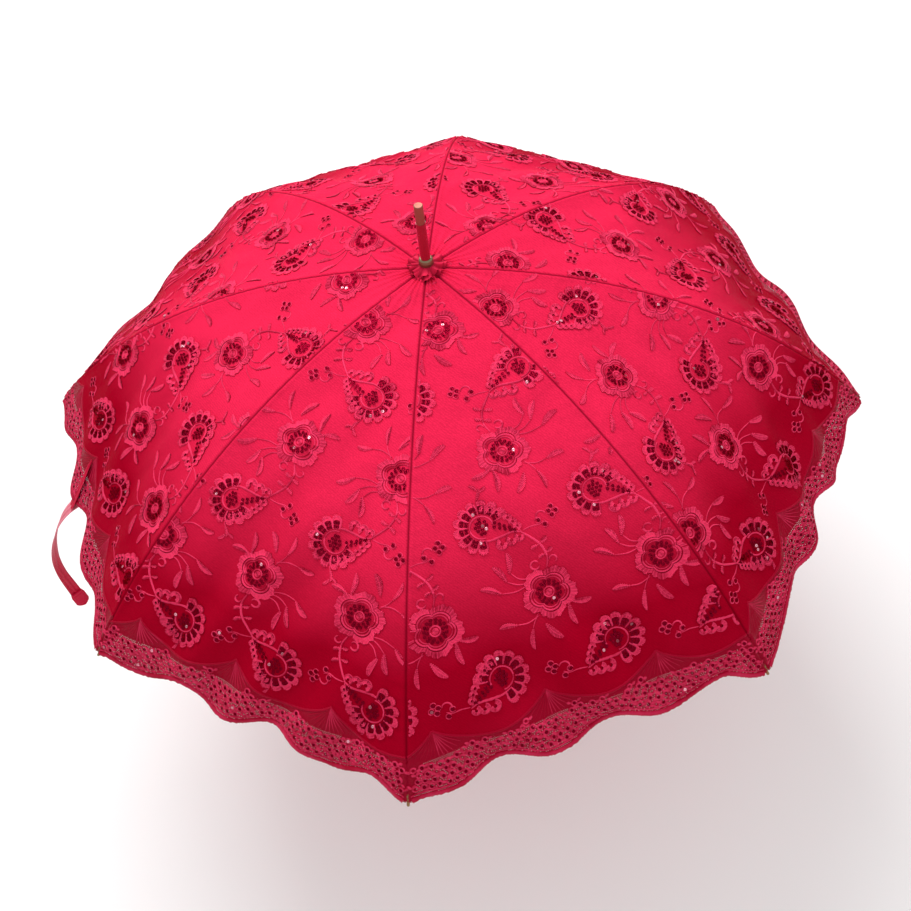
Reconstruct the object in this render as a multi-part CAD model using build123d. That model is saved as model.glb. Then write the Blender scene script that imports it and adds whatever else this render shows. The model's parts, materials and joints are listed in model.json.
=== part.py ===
from build123d import *
import math
import os

# Lace parasol, open, eight ribs. Millimetres, +Z along the shaft towards the ferrule.
# The origin is the middle of the handle's straight grip, on the shaft's axis.
# Every rib, stretcher and cloth gore is drawn in the XZ plane and turned to its place round the shaft.

# ---------------------------------------------------------------- overall sizes
rib_count = 8
rim_radius = 420.0            # shaft axis to the end of a rib tip, open
apex_rise = 188.0             # rib crown above the level of the rib tips, open
ferrule_height = 75.0         # top of the ferrule above the rib crown
closed_tip_radius = 21.0      # shaft axis to the end of a rib tip, folded

# ---------------------------------------------------------------- shaft and handle
shaft_radius = 5.0
shaft_wall = 0.8
shaft_in_handle = 60.0        # length of shaft held inside the handle
grip_radius = 11.0
grip_length = 84.0
crook_radius = 32.0           # middle line of the crook
crook_end_length = 20.0       # straight stretch after the crook's half turn
end_cap_height = 8.0
end_cap_lip = 0.6             # how far the end cap stands out past the handle
end_cap_round = 0.7           # rounded edge, as a share of the cap's height
collar_height = 12.0
collar_inset = 0.5            # how far the collar stays inside the grip's radius
collar_round = 0.25           # rounded edge, as a share of the collar's height
tip_to_collar = 22.0          # folded rib tips stay at least this far above the handle's collar
foot_to_collar = 4.0          # folded runner stays at least this far above it

# ---------------------------------------------------------------- ribs
rib_width = 3.6
rib_height = 3.2
rib_wall = 0.6
tongue_width = 1.8
slot_play = 0.3               # tongue to slot wall, each side
eye_radius = 1.9
eye_hole_radius = 0.6
wire_radius = 0.5
wire_play = 0.05              # wire to the notch it lies in
hinge_drop = 2.5              # crown wire below the rib's middle line
rib_start = 7.0               # channel starts this far outside the crown wire
root_block_length = 1.0       # solid end of the channel, where the tongue joins it
tip_rod_radius = 1.3
tip_rod_length = 6.0
tip_cup_radius = 2.3
tip_cup_length = 6.0
tip_plug_length = 5.0
tip_plug_play = 0.25

# ---------------------------------------------------------------- stretchers
stretcher_length = 230.0      # rivet to runner wire
joint_setback = 30.0          # along the rib, the rivet is this much nearer the crown than that length
joint_drop = 1.2              # rivet below the rib's middle line
stretcher_width = 3.0
stretcher_height = 2.8
stretcher_wall = 0.5
ear_gap = 0.3                 # rib channel to stretcher ear
ear_thickness = 0.8
ear_radius = 1.7
ear_length = 17.0
neck_length = 4.0
channel_overlap = 1.0         # stretcher channel runs this far into its neck and its tongue
hollow_end = 3.0              # solid stretch at each end of the stretcher's channel
rivet_radius = 0.75
rivet_play = 0.08
rivet_head_radius = 1.5
rivet_head_thickness = 0.5
rivet_head_gap = 0.2

# ---------------------------------------------------------------- notches and runner
notch_rim = 2.5               # notch stands out this far past its wire
crown_below_wire = 3.5
crown_to_cloth = 0.3          # crown notch stays this far under the cloth
slot_behind_eye = 0.6         # room between an eye and the back of its slot
crown_notch_web = 2.0         # shaft to the back of a slot
runner_notch_web = 0.8        # runner tube to the back of a slot
runner_bore_play = 0.3
runner_wall = 1.9
runner_notch_half = 4.0       # runner notch above and below its wire
runner_tube_length = 42.0     # below the runner notch
runner_foot_radius = 9.2
runner_foot_height = 3.0
through_margin = 1.0          # a cut runs this far past the wall it opens

# ---------------------------------------------------------------- catches and pins
catch_azimuth = -67.5         # degrees, midway between two ribs
catch_thickness = 2.2
catch_slot_width = 3.0
catch_length = 22.0           # pivot to shoulder
catch_nose_reach = 3.0        # nose stands out past the shaft
catch_nose_height = 9.0
catch_below_runner = 0.4
catch_foot_radius = 1.7
catch_nose_edge = 1.5         # height of the nose's outer edge
catch_pin_radius = 0.8
catch_pin_play = 0.1
window_width = 3.4            # opening in the runner tube for the bottom catch
window_play = 0.8
stop_pin_radius = 1.1
stop_pin_reach = 2.0
stop_pin_gap = 0.4            # runner to the stop pin, open

# ---------------------------------------------------------------- ferrule
ferrule_base_step = 0.3       # the stick's foot is this much slimmer than the shaft
ferrule_top_radius = 4.3
ferrule_spigot_play = 0.2     # spigot to the shaft's bore
ferrule_spigot_length = 20.0
ferrule_tip_radius = 4.0
ferrule_tip_length = 19.0
ferrule_tip_wall = 0.6
ferrule_tip_seat = 4.0        # length of stick inside the tip
ferrule_tip_edge = 0.5
ferrule_collar_radius = 6.7
ferrule_collar_height = 6.5
ferrule_collar_lip = 0.4      # thickness of the collar's top edge
ferrule_collar_belly = 0.45   # height of its widest band, as a share of its height
ferrule_collar_shoulder = 0.8 # height of its shoulder, as a share of its height
ferrule_shoulder_share = 0.92 # radius of its shoulder, as a share of its radius
rosette_radius = 17.5
rosette_height = 6.0
rosette_edge = 2.2
rosette_gap = 0.4             # rosette to cloth

# ---------------------------------------------------------------- cloth
cloth_thickness = 0.6
cloth_play = 0.1              # cloth to the rib it lies on
cloth_hole_play = 1.3         # cloth's hole to the ferrule stick's foot
gore_gap = 0.4                # gore to gore, halfway between two ribs
lace_width = 34.0
lace_thickness = 0.6
lace_end = 2.0                # lace stops this far short of the rib tips' ends
lace_gap = 0.1
cloth_curve_steps = 8         # stretches in the line that the cloth follows

# ---------------------------------------------------------------- tie strap
strap_rib = 7                 # the gore that the strap is sewn to
strap_turn = 20.0             # degrees from that rib, towards the next one
strap_width = 13.0
strap_thickness = 0.8
strap_sewn_back = 49.0        # sewn end, in from the ribs' ends along the cloth
strap_play = 1.0              # strap to the lace under it
strap_leave_angle = 20.0      # degrees below level at which the strap leaves the lace
strap_bend_radius = 88.0      # the stiff ribbon stands out in a wide bend
strap_drop = 76.0             # straight stretch hanging below the bend
tab_length = 26.0
tab_overhang = 1.0
tab_thickness = 1.0
tab_round = 0.35              # rounded corners, as a share of the tab's width

# ---------------------------------------------------------------- points on the arc of the ribs
def arc_point(angle, offset=0.0):
    """Point (radius, height) on the rib's arc, angle in radians from the crown, offset outwards."""
    reach = arc_radius + offset
    return (hinge_radius + reach * math.sin(angle), arc_centre_z + reach * math.cos(angle))


def runner_wire_depth(fold):
    """Depth of the runner wire below the crown wire when the ribs are folded down by this angle, in radians."""
    lever = math.hypot(joint_run, joint_fall)
    lever_angle = math.atan2(joint_fall, joint_run) + fold
    reach = hinge_radius + lever * math.cos(lever_angle) - runner_wire_radius_pos
    return lever * math.sin(lever_angle) + math.sqrt(stretcher_length ** 2 - reach ** 2)


# ---------------------------------------------------------------- worked-out places
pitch = 360.0 / rib_count
half_pitch = math.radians(pitch / 2)
mid_share = math.cos(half_pitch)
runner_bore_radius = shaft_radius + runner_bore_play
runner_tube_radius = runner_bore_radius + runner_wall
hinge_radius = shaft_radius + crown_notch_web + slot_behind_eye + eye_radius
runner_wire_radius_pos = runner_tube_radius + runner_notch_web + slot_behind_eye + eye_radius
chord_run = rim_radius - hinge_radius
chord_angle = math.atan2(apex_rise, chord_run)
arc_radius = math.hypot(chord_run, apex_rise) / (2 * math.sin(chord_angle))
arc_angle = 2 * chord_angle

hinge_to_tip = math.hypot(chord_run, apex_rise - hinge_drop)
open_tip_angle = math.atan2(apex_rise - hinge_drop, chord_run)
closed_tip_angle = math.acos((closed_tip_radius - hinge_radius) / hinge_to_tip)
fold_angle = closed_tip_angle - open_tip_angle
closed_tip_depth = hinge_to_tip * math.sin(closed_tip_angle)

joint_angle = (stretcher_length - joint_setback) / arc_radius
joint_run = (arc_radius - joint_drop) * math.sin(joint_angle)
joint_fall = arc_radius - hinge_drop - (arc_radius - joint_drop) * math.cos(joint_angle)
closed_foot_depth = runner_wire_depth(fold_angle) + runner_notch_half + runner_tube_length

grip_top = grip_length / 2
collar_top = grip_top + collar_height
hinge_z = collar_top + max(tip_to_collar + closed_tip_depth, foot_to_collar + closed_foot_depth)
crown_z = hinge_z + hinge_drop
arc_centre_z = crown_z - arc_radius
shaft_bottom = grip_top - shaft_in_handle
shaft_bore_radius = shaft_radius - shaft_wall
ferrule_spigot_radius = shaft_bore_radius - ferrule_spigot_play
ferrule_base_radius = shaft_radius - ferrule_base_step
cloth_hole_radius = ferrule_base_radius + cloth_hole_play

# The cloth falls away to both sides of a rib, so it lies higher than the rib's back by that slope.
cloth_lift = rib_height / 2 + rib_width / 2 * math.tan(half_pitch) + cloth_play
lace_lift = tip_cup_radius / mid_share + cloth_play
notch_top = crown_z + cloth_lift - crown_to_cloth
cloth_top = crown_z + cloth_lift + cloth_thickness

joint_r, joint_z = arc_point(joint_angle, -joint_drop)
runner_z = hinge_z - runner_wire_depth(0.0)
runner_closed_z = hinge_z - runner_wire_depth(fold_angle)
runner_travel = runner_z - runner_closed_z
runner_top = runner_z + runner_notch_half
runner_foot_z = runner_z - runner_notch_half - runner_tube_length

top_shoulder_z = runner_foot_z - catch_below_runner
bottom_shoulder_z = runner_foot_z - runner_travel + runner_foot_height + window_play + catch_nose_height
top_pivot_z = top_shoulder_z - catch_length
bottom_pivot_z = bottom_shoulder_z - catch_nose_height + catch_length

channel_start = math.asin(rib_start / arc_radius)
tip_length = tip_rod_length + tip_cup_length
channel_end = arc_angle - tip_length / arc_radius

lace_end_angle = arc_angle - lace_end / arc_radius
lace_start_angle = lace_end_angle - lace_width / arc_radius
cloth_end_angle = lace_start_angle - lace_gap / arc_radius


def turned(shape, degrees):
    """The shape turned about the shaft's axis."""
    return Rot(0, 0, degrees) * shape


def rib_azimuth(number):
    """Degrees round the shaft of rib 1 to 8; rib 1 points along -Y."""
    return -90.0 + pitch * (number - 1)


def ring(outer, inner, bottom, top):
    """Plain ring about the shaft's axis."""
    height = top - bottom
    middle = (bottom + top) / 2
    return Pos(0, 0, middle) * (Cylinder(outer, height) - Cylinder(inner, height))


def across(radius, length, x, z):
    """Round bar along Y at (x, z)."""
    return Pos(x, 0, z) * Rot(90, 0, 0) * Cylinder(radius, length)


def plate(points, thickness):
    """Flat plate in the XZ plane, centred on it."""
    outline = Plane.XZ * make_face(Polyline(*points, close=True))
    return extrude(outline, thickness / 2, both=True)


def swept_on_arc(section, start, end):
    """Section turned about the rib arc's centre line from one angle to another."""
    spine = Axis((hinge_radius, 0, arc_centre_z), (0, 1, 0))
    return revolve(section, spine, math.degrees(end - start))


def plane_on_arc(angle, offset=0.0):
    """Plane across the rib's arc: local x is +Y, local y points out of the arc."""
    r, z = arc_point(angle, offset)
    return Plane(origin=(r, 0, z), x_dir=(0, 1, 0), z_dir=(math.cos(angle), 0, -math.sin(angle)))


# ---------------------------------------------------------------- handle, shaft, ferrule
def crook_handle():
    grip = Cylinder(grip_radius, grip_length)
    section = Plane.XY.offset(-grip_length / 2) * Circle(grip_radius)
    bend = revolve(section, Axis((crook_radius, 0, -grip_length / 2), (0, -1, 0)), 180)
    end_z = -grip_length / 2 + crook_end_length / 2
    end = Pos(2 * crook_radius, 0, end_z) * Cylinder(grip_radius, crook_end_length)
    socket = Pos(0, 0, (grip_top + shaft_bottom) / 2) * Cylinder(shaft_radius, shaft_in_handle)
    return grip + bend + end - socket


def handle_end_cap():
    bottom = -grip_length / 2 + crook_end_length
    radius = grip_radius + end_cap_lip
    cap = Pos(2 * crook_radius, 0, bottom + end_cap_height / 2) * Cylinder(radius, end_cap_height)
    rim = cap.edges().group_by(Axis.Z)[-1]
    return fillet(rim, end_cap_height * end_cap_round)


def handle_collar():
    collar = ring(grip_radius - collar_inset, shaft_radius, grip_top, collar_top)
    rim = collar.edges().filter_by(GeomType.CIRCLE).group_by(Axis.Z)[-1].sort_by(SortBy.RADIUS)[-1]
    return fillet(rim, collar_height * collar_round)


def shaft():
    tube = ring(shaft_radius, shaft_bore_radius, shaft_bottom, notch_top)
    slot_height = catch_length + 2 * (catch_foot_radius + through_margin)
    for shoulder, side in ((top_shoulder_z, -1), (bottom_shoulder_z - catch_nose_height, 1)):
        middle = shoulder + side * (slot_height / 2 - through_margin)
        slot = Pos(shaft_radius, 0, middle) * Box(2 * shaft_radius, catch_slot_width, slot_height)
        tube -= turned(slot, catch_azimuth)
    return tube - shaft_pin_bars(0.0)


def shaft_pin_bars(head):
    """Cross bars through the shaft: the two catch pivots and the runner's stop, which stands out by head."""
    catch_bars = [across(catch_pin_radius, 2 * shaft_radius, 0, z) for z in (top_pivot_z, bottom_pivot_z)]
    stop_z = runner_top + stop_pin_gap + stop_pin_radius
    stop = across(stop_pin_radius, 2 * (shaft_radius + head), 0, stop_z)
    return [turned(bar, catch_azimuth) for bar in catch_bars + [stop]]


def ferrule_stick():
    top = crown_z + ferrule_height - ferrule_tip_length + ferrule_tip_seat
    seat_radius = ferrule_tip_radius - ferrule_tip_wall
    outline = Polyline(
        (0, notch_top - ferrule_spigot_length),
        (ferrule_spigot_radius, notch_top - ferrule_spigot_length),
        (ferrule_spigot_radius, notch_top),
        (ferrule_base_radius, notch_top),
        (ferrule_top_radius, top - ferrule_tip_seat),
        (seat_radius, top - ferrule_tip_seat),
        (seat_radius, top),
        (0, top),
        close=True,
    )
    return revolve(Plane.XZ * make_face(outline), Axis.Z)


def ferrule_tip():
    top = crown_z + ferrule_height
    bottom = top - ferrule_tip_length
    solid = Pos(0, 0, (top + bottom) / 2) * Cylinder(ferrule_tip_radius, ferrule_tip_length)
    rim = solid.edges().group_by(Axis.Z)[-1]
    solid = chamfer(rim, ferrule_tip_edge)
    seat_middle = bottom + ferrule_tip_seat / 2
    return solid - Pos(0, 0, seat_middle) * Cylinder(ferrule_tip_radius - ferrule_tip_wall, ferrule_tip_seat)


def stick_radius(z):
    """Radius of the tapered stick at a height."""
    top = crown_z + ferrule_height - ferrule_tip_length
    share = (z - notch_top) / (top - notch_top)
    return ferrule_base_radius + (ferrule_top_radius - ferrule_base_radius) * share


def ferrule_collar():
    bottom = cloth_top + rosette_gap + rosette_height
    top = bottom + ferrule_collar_height
    shoulder_radius = ferrule_collar_radius * ferrule_shoulder_share
    outline = Polyline(
        (stick_radius(bottom), bottom),
        (ferrule_collar_radius, bottom),
        (ferrule_collar_radius, bottom + ferrule_collar_height * ferrule_collar_belly),
        (shoulder_radius, bottom + ferrule_collar_height * ferrule_collar_shoulder),
        (stick_radius(top) + ferrule_collar_lip, top),
        (stick_radius(top), top),
        close=True,
    )
    return revolve(Plane.XZ * make_face(outline), Axis.Z)


def rosette():
    bottom = cloth_top + rosette_gap
    outline = Polyline(
        (stick_radius(bottom), bottom),
        (rosette_radius, bottom),
        (rosette_radius, bottom + rosette_edge),
        (ferrule_collar_radius, bottom + rosette_height),
        (stick_radius(bottom + rosette_height), bottom + rosette_height),
        close=True,
    )
    return revolve(Plane.XZ * make_face(outline), Axis.Z)


# ---------------------------------------------------------------- notches, wires and runner
def wire_loop(radius, z, thickness):
    return Pos(0, 0, z) * Torus(radius, thickness)


def notch(wire_r, wire_z, bore, bottom, top):
    """Slotted hub: each slot takes one eye, and the wire lies in a ring-shaped bore through the teeth."""
    hub = ring(wire_r + notch_rim, bore, bottom, top)
    slot_back = wire_r - eye_radius - slot_behind_eye
    slot_length = notch_rim + eye_radius + slot_behind_eye + through_margin
    slot = Box(slot_length, tongue_width + 2 * slot_play, top - bottom)
    placed = Pos(slot_back + slot_length / 2, 0, (top + bottom) / 2) * slot
    hub -= [turned(placed, rib_azimuth(number)) for number in range(1, rib_count + 1)]
    return hub - wire_loop(wire_r, wire_z, wire_radius + wire_play)


def runner_tube():
    tube = ring(runner_tube_radius, runner_bore_radius, runner_foot_z, runner_top)
    tube += ring(runner_foot_radius, runner_bore_radius, runner_foot_z, runner_foot_z + runner_foot_height)
    height = catch_nose_height + 2 * window_play
    window_z = runner_foot_z + runner_foot_height + height / 2
    window_depth = 2 * (runner_wall + through_margin)
    window = Pos(runner_tube_radius, 0, window_z) * Box(window_depth, window_width, height)
    return tube - turned(window, catch_azimuth)


# ---------------------------------------------------------------- catches
def catch(pivot_z, shoulder_z, side):
    """Sprung lever in the shaft; side is 1 where the shoulder is above the pivot and -1 below it."""
    nose = shaft_radius + catch_nose_reach
    back = shaft_bore_radius - 2 * catch_foot_radius
    points = [
        (catch_foot_radius, pivot_z),
        (shaft_bore_radius, shoulder_z - side * catch_nose_height),
        (nose, shoulder_z - side * catch_nose_edge),
        (nose, shoulder_z),
        (back, shoulder_z),
        (-catch_foot_radius, pivot_z),
    ]
    lever = plate(points, catch_thickness) + across(catch_foot_radius, catch_thickness, 0, pivot_z)
    lever -= across(catch_pin_radius + catch_pin_play, catch_thickness, 0, pivot_z)
    return turned(lever, catch_azimuth)


# ---------------------------------------------------------------- ribs and stretchers
def rib():
    half_w = rib_width / 2
    half_h = rib_height / 2
    inner_w = half_w - rib_wall
    inner_h = half_h - rib_wall
    outline = Polyline(
        (-half_w, -half_h),
        (-half_w, half_h),
        (half_w, half_h),
        (half_w, -half_h),
        (inner_w, -half_h),
        (inner_w, inner_h),
        (-inner_w, inner_h),
        (-inner_w, -half_h),
        close=True,
    )
    section = plane_on_arc(channel_start) * make_face(outline)
    channel = swept_on_arc(section, channel_start, channel_end)
    root_r, root_z = arc_point(channel_start)
    tongue = plate(
        [
            (hinge_radius, hinge_z - eye_radius),
            (root_r + root_block_length, root_z - half_h),
            (root_r + root_block_length, root_z + half_h),
            (hinge_radius, hinge_z + eye_radius),
        ],
        tongue_width,
    )
    tongue += across(eye_radius, tongue_width, hinge_radius, hinge_z)
    block = Pos(root_r + root_block_length / 2, 0, root_z) * Box(root_block_length, rib_width, rib_height)
    body = channel + tongue + block
    body -= across(eye_hole_radius, tongue_width, hinge_radius, hinge_z)
    body -= across(rivet_radius, rib_width, joint_r, joint_z)
    return Compound([body, rivet()])


def rivet():
    head_start = rib_width / 2 + ear_gap + ear_thickness + rivet_head_gap
    pin = across(rivet_radius, 2 * head_start, joint_r, joint_z)
    head = across(rivet_head_radius, rivet_head_thickness, joint_r, joint_z)
    shift = head_start + rivet_head_thickness / 2
    return pin + Pos(0, shift, 0) * head + Pos(0, -shift, 0) * head


def rib_tip():
    place = plane_on_arc(channel_end)
    plug_radius = rib_width / 2 - rib_wall - tip_plug_play
    drop = rib_height / 2 - rib_wall - tip_plug_play - plug_radius
    plug = Pos(0, drop, -tip_plug_length / 2) * Cylinder(plug_radius, tip_plug_length)
    cup = Pos(0, 0, tip_cup_length / 2) * Cylinder(tip_cup_radius, tip_cup_length)
    rod_end = tip_cup_length + tip_rod_length - tip_rod_radius
    rod = Pos(0, 0, rod_end / 2) * Cylinder(tip_rod_radius, rod_end)
    ball = Pos(0, 0, rod_end) * Sphere(tip_rod_radius)
    return place * (plug + cup + rod + ball)


def stretcher():
    """Channel with two ears round the rib at one end and a tongue in the runner notch at the other."""
    reach_r = runner_wire_radius_pos - joint_r
    reach_z = runner_z - joint_z
    place = Plane(origin=(joint_r, 0, joint_z), x_dir=(reach_r, 0, reach_z), z_dir=(0, 1, 0))
    ear_inside = rib_width / 2 + ear_gap
    ear_outside = ear_inside + ear_thickness
    ear_shift = (ear_inside + ear_outside) / 2
    ear = Cylinder(ear_radius, ear_thickness) + Pos(ear_length / 2, 0, 0) * Box(
        ear_length, 2 * ear_radius, ear_thickness
    )
    ear -= Cylinder(rivet_radius + rivet_play, ear_thickness)
    body = Pos(0, 0, ear_shift) * ear + Pos(0, 0, -ear_shift) * ear
    body += Pos(ear_length - neck_length / 2, 0, 0) * Box(neck_length, stretcher_height, 2 * ear_outside)
    tongue_length = rib_start + notch_rim
    channel_length = stretcher_length - ear_length - tongue_length + 2 * channel_overlap
    channel = Box(channel_length, stretcher_height, stretcher_width)
    hollow_length = channel_length - 2 * hollow_end
    hollow = Pos(0, -stretcher_wall, 0) * Box(
        hollow_length, stretcher_height, stretcher_width - 2 * stretcher_wall
    )
    body += Pos(ear_length + channel_length / 2 - channel_overlap, 0, 0) * (channel - hollow)
    tongue = Pos(-tongue_length / 2, 0, 0) * Box(tongue_length, stretcher_height, tongue_width)
    tongue += Cylinder(eye_radius, tongue_width)
    tongue -= Cylinder(eye_hole_radius, tongue_width)
    body += Pos(stretcher_length, 0, 0) * tongue
    return place * body


# ---------------------------------------------------------------- cloth
def panel_curve(offset, start, end):
    """Points of the cloth's line halfway between two ribs, as (radius, height)."""
    points = []
    for step in range(cloth_curve_steps + 1):
        r, z = arc_point(start + (end - start) * step / cloth_curve_steps, offset)
        points.append((r * mid_share, z))
    return points


def shell_between_ribs(inside, outside, start, end, from_hub):
    """Half of a panel: straight across from rib to rib, so it is one curve pushed sideways."""
    inner = panel_curve(inside, start, end)
    outer = panel_curve(outside, start, end)
    top = Spline(*outer)
    bottom = Spline(*inner)
    edges = [top, bottom, Line(outer[-1], inner[-1])]
    if from_hub:
        hub_r = cloth_hole_radius / 2
        edges.append(Polyline(outer[0], (hub_r, outer[0][1]), (hub_r, inner[0][1]), inner[0]))
    else:
        edges.append(Line(outer[0], inner[0]))
    profile = Plane.XZ * make_face(edges)
    sheet = extrude(profile, rim_radius, both=True)
    sheet = turned(sheet, pitch / 2)
    far = 2 * rim_radius
    edge_shift = gore_gap / 2 / math.sin(half_pitch)
    wedge_outline = Polyline(
        (edge_shift, 0),
        (far, 0),
        (far, (far - edge_shift) * math.tan(half_pitch)),
        close=True,
    )
    height = 2 * rim_radius
    wedge = extrude(Pos(0, 0, crown_z - height / 2) * make_face(wedge_outline), height)
    return sheet & wedge


def both_sides(half):
    return half + mirror(half, about=Plane.XZ)


def canopy_gore():
    half = shell_between_ribs(cloth_lift, cloth_lift + cloth_thickness, 0.0, cloth_end_angle, True)
    gore = both_sides(half)
    hole = Pos(0, 0, crown_z) * Cylinder(cloth_hole_radius, 4 * rib_height)
    return gore - hole


def lace_border():
    # The lace clears the rib tip's cup, which is thicker than the rib.
    top = lace_lift + lace_thickness
    return both_sides(shell_between_ribs(lace_lift, top, lace_start_angle, lace_end_angle, False))


def strap_azimuth():
    return rib_azimuth(strap_rib) + strap_turn


def strap_line():
    """Sewn end of the strap and its place at the lace's edge, as (radius, height) in its upright plane."""
    off_middle = half_pitch - math.radians(strap_turn)
    turn_share = mid_share / math.cos(off_middle)
    across_lift = strap_width / 2 * math.tan(off_middle)
    lift = lace_lift + lace_thickness + across_lift + strap_play + strap_thickness / 2
    start_r, start_z = arc_point(arc_angle - strap_sewn_back / arc_radius, lift)
    edge_r, edge_z = arc_point(lace_end_angle, lift)
    return (start_r * turn_share, start_z), (edge_r * turn_share, edge_z)


def strap_anchor():
    """The stretch of strap that lies on the cloth and is sewn to it."""
    start, edge = strap_line()
    length = math.hypot(edge[0] - start[0], edge[1] - start[1])
    heading = math.atan2(edge[1] - start[1], edge[0] - start[0])
    band = Pos(length / 2, 0, 0) * Box(length, strap_width, strap_thickness)
    place = Plane(
        origin=(start[0], 0, start[1]),
        x_dir=(math.cos(heading), 0, math.sin(heading)),
        z_dir=(-math.sin(heading), 0, math.cos(heading)),
    )
    return turned(place * band, strap_azimuth())


def strap_bend_centre():
    """Centre of the wide bend, and the angle at which it starts; the fold at the edge opens downwards."""
    start, edge = strap_line()
    heading = math.atan2(edge[1] - start[1], edge[0] - start[0])
    leave = -math.radians(strap_leave_angle)
    top_r = edge[0] - strap_thickness / 2 * math.sin(heading)
    top_z = edge[1] + strap_thickness / 2 * math.cos(heading)
    outer = strap_bend_radius + strap_thickness / 2
    return (top_r + outer * math.sin(leave), top_z - outer * math.cos(leave)), leave + math.pi / 2


def tie_strap():
    """The stretch of strap that stands out from the edge of the lace, bends down and hangs."""
    centre, first = strap_bend_centre()
    outline = []
    ends = []
    for radius in (strap_bend_radius + strap_thickness / 2, strap_bend_radius - strap_thickness / 2):
        bend = [
            (centre[0] + radius * math.cos(angle), centre[1] + radius * math.sin(angle))
            for angle in (first, first / 2, 0.0)
        ]
        foot = (centre[0] + radius, centre[1] - strap_drop)
        outline += [ThreePointArc(*bend), Line(bend[-1], foot)]
        ends.append((bend[0], foot))
    outline += [Line(ends[0][0], ends[1][0]), Line(ends[0][1], ends[1][1])]
    band = Plane.XZ * make_face(outline)
    return turned(extrude(band, strap_width / 2, both=True), strap_azimuth())


def strap_tab():
    centre = strap_bend_centre()[0]
    middle_z = centre[1] - strap_drop - tab_length / 2
    width = strap_width + 2 * tab_overhang
    tab = Pos(centre[0] + strap_bend_radius, 0, middle_z) * Box(tab_thickness, width, tab_length)
    corners = tab.edges().filter_by(Axis.X).group_by(Axis.Z)[0]
    return turned(fillet(corners, width * tab_round), strap_azimuth())


# ---------------------------------------------------------------- all nodes
def all_nodes():
    nodes = {
        "crook_handle": crook_handle(),
        "handle_end_cap": handle_end_cap(),
        "handle_collar": handle_collar(),
        "shaft": shaft(),
        "shaft_pins": Compound(shaft_pin_bars(stop_pin_reach)),
        "ferrule_stick": ferrule_stick(),
        "ferrule_tip": ferrule_tip(),
        "ferrule_collar": ferrule_collar(),
        "rosette": rosette(),
        "top_notch": notch(hinge_radius, hinge_z, shaft_radius, hinge_z - crown_below_wire, notch_top),
        "top_notch_wire": wire_loop(hinge_radius, hinge_z, wire_radius),
        "runner_tube": runner_tube(),
        "runner_notch": notch(
            runner_wire_radius_pos,
            runner_z,
            runner_tube_radius,
            runner_z - runner_notch_half,
            runner_top,
        ),
        "runner_wire": wire_loop(runner_wire_radius_pos, runner_z, wire_radius),
        "top_catch": catch(top_pivot_z, top_shoulder_z, 1),
        "bottom_catch": catch(bottom_pivot_z, bottom_shoulder_z - catch_nose_height, -1),
        "strap_anchor": strap_anchor(),
        "tie_strap": tie_strap(),
        "strap_tab": strap_tab(),
    }
    repeated = {
        "rib": rib(),
        "rib_tip": rib_tip(),
        "stretcher": stretcher(),
        "canopy": canopy_gore(),
        "lace_border": lace_border(),
    }
    for name, shape in repeated.items():
        for number in range(1, rib_count + 1):
            nodes[f"{name}_{number}"] = turned(shape, rib_azimuth(number))
    return nodes


os.makedirs("parts", exist_ok=True)
for node_name, node_shape in all_nodes().items():
    export_step(node_shape, f"parts/{node_name}.step")
print(f"fold {math.degrees(fold_angle):.4f} degrees, runner travel {runner_travel:.4f} mm")
print(f"crown at {crown_z:.3f}, runner wire at {runner_z:.3f}, folded {runner_closed_z:.3f}")
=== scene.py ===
"""Lace parasol: embroidered cloth, lace, rosette, strap and finishes round the CAD frame."""

import json
import math
import random

import bpy
import numpy as np
from bpy.props import FloatProperty, FloatVectorProperty, IntProperty, PointerProperty
from mathutils import Matrix, Vector


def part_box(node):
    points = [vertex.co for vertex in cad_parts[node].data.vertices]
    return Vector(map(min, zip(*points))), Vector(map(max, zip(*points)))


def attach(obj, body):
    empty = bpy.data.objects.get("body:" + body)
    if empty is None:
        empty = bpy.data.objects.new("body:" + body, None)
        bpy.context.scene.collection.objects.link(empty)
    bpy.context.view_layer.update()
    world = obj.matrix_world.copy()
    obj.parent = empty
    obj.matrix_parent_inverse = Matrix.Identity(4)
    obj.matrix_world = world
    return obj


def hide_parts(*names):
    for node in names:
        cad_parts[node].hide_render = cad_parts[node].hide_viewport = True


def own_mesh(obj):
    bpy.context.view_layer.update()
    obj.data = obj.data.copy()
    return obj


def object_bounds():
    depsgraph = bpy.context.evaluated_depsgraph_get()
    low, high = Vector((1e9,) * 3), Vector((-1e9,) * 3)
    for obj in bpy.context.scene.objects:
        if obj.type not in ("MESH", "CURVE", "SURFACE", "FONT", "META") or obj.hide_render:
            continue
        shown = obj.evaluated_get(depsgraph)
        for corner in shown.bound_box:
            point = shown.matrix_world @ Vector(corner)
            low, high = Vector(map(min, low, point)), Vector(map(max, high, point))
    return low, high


bl_info = {
    "name": "Lace Parasol",
    "version": (1, 0, 0),
    "blender": (4, 5, 0),
    "location": "3D View > Sidebar > Parasol",
    "description": "Builds the cloth, embroidery, lace and finishes of a lace parasol",
    "category": "Object",
}

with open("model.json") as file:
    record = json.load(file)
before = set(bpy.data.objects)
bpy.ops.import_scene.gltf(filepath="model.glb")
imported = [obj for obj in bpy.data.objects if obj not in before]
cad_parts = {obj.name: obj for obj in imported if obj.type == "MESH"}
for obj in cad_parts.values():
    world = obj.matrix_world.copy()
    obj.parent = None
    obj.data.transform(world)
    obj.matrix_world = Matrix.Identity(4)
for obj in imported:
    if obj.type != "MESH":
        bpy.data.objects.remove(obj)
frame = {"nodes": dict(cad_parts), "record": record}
cad_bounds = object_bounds()

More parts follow.
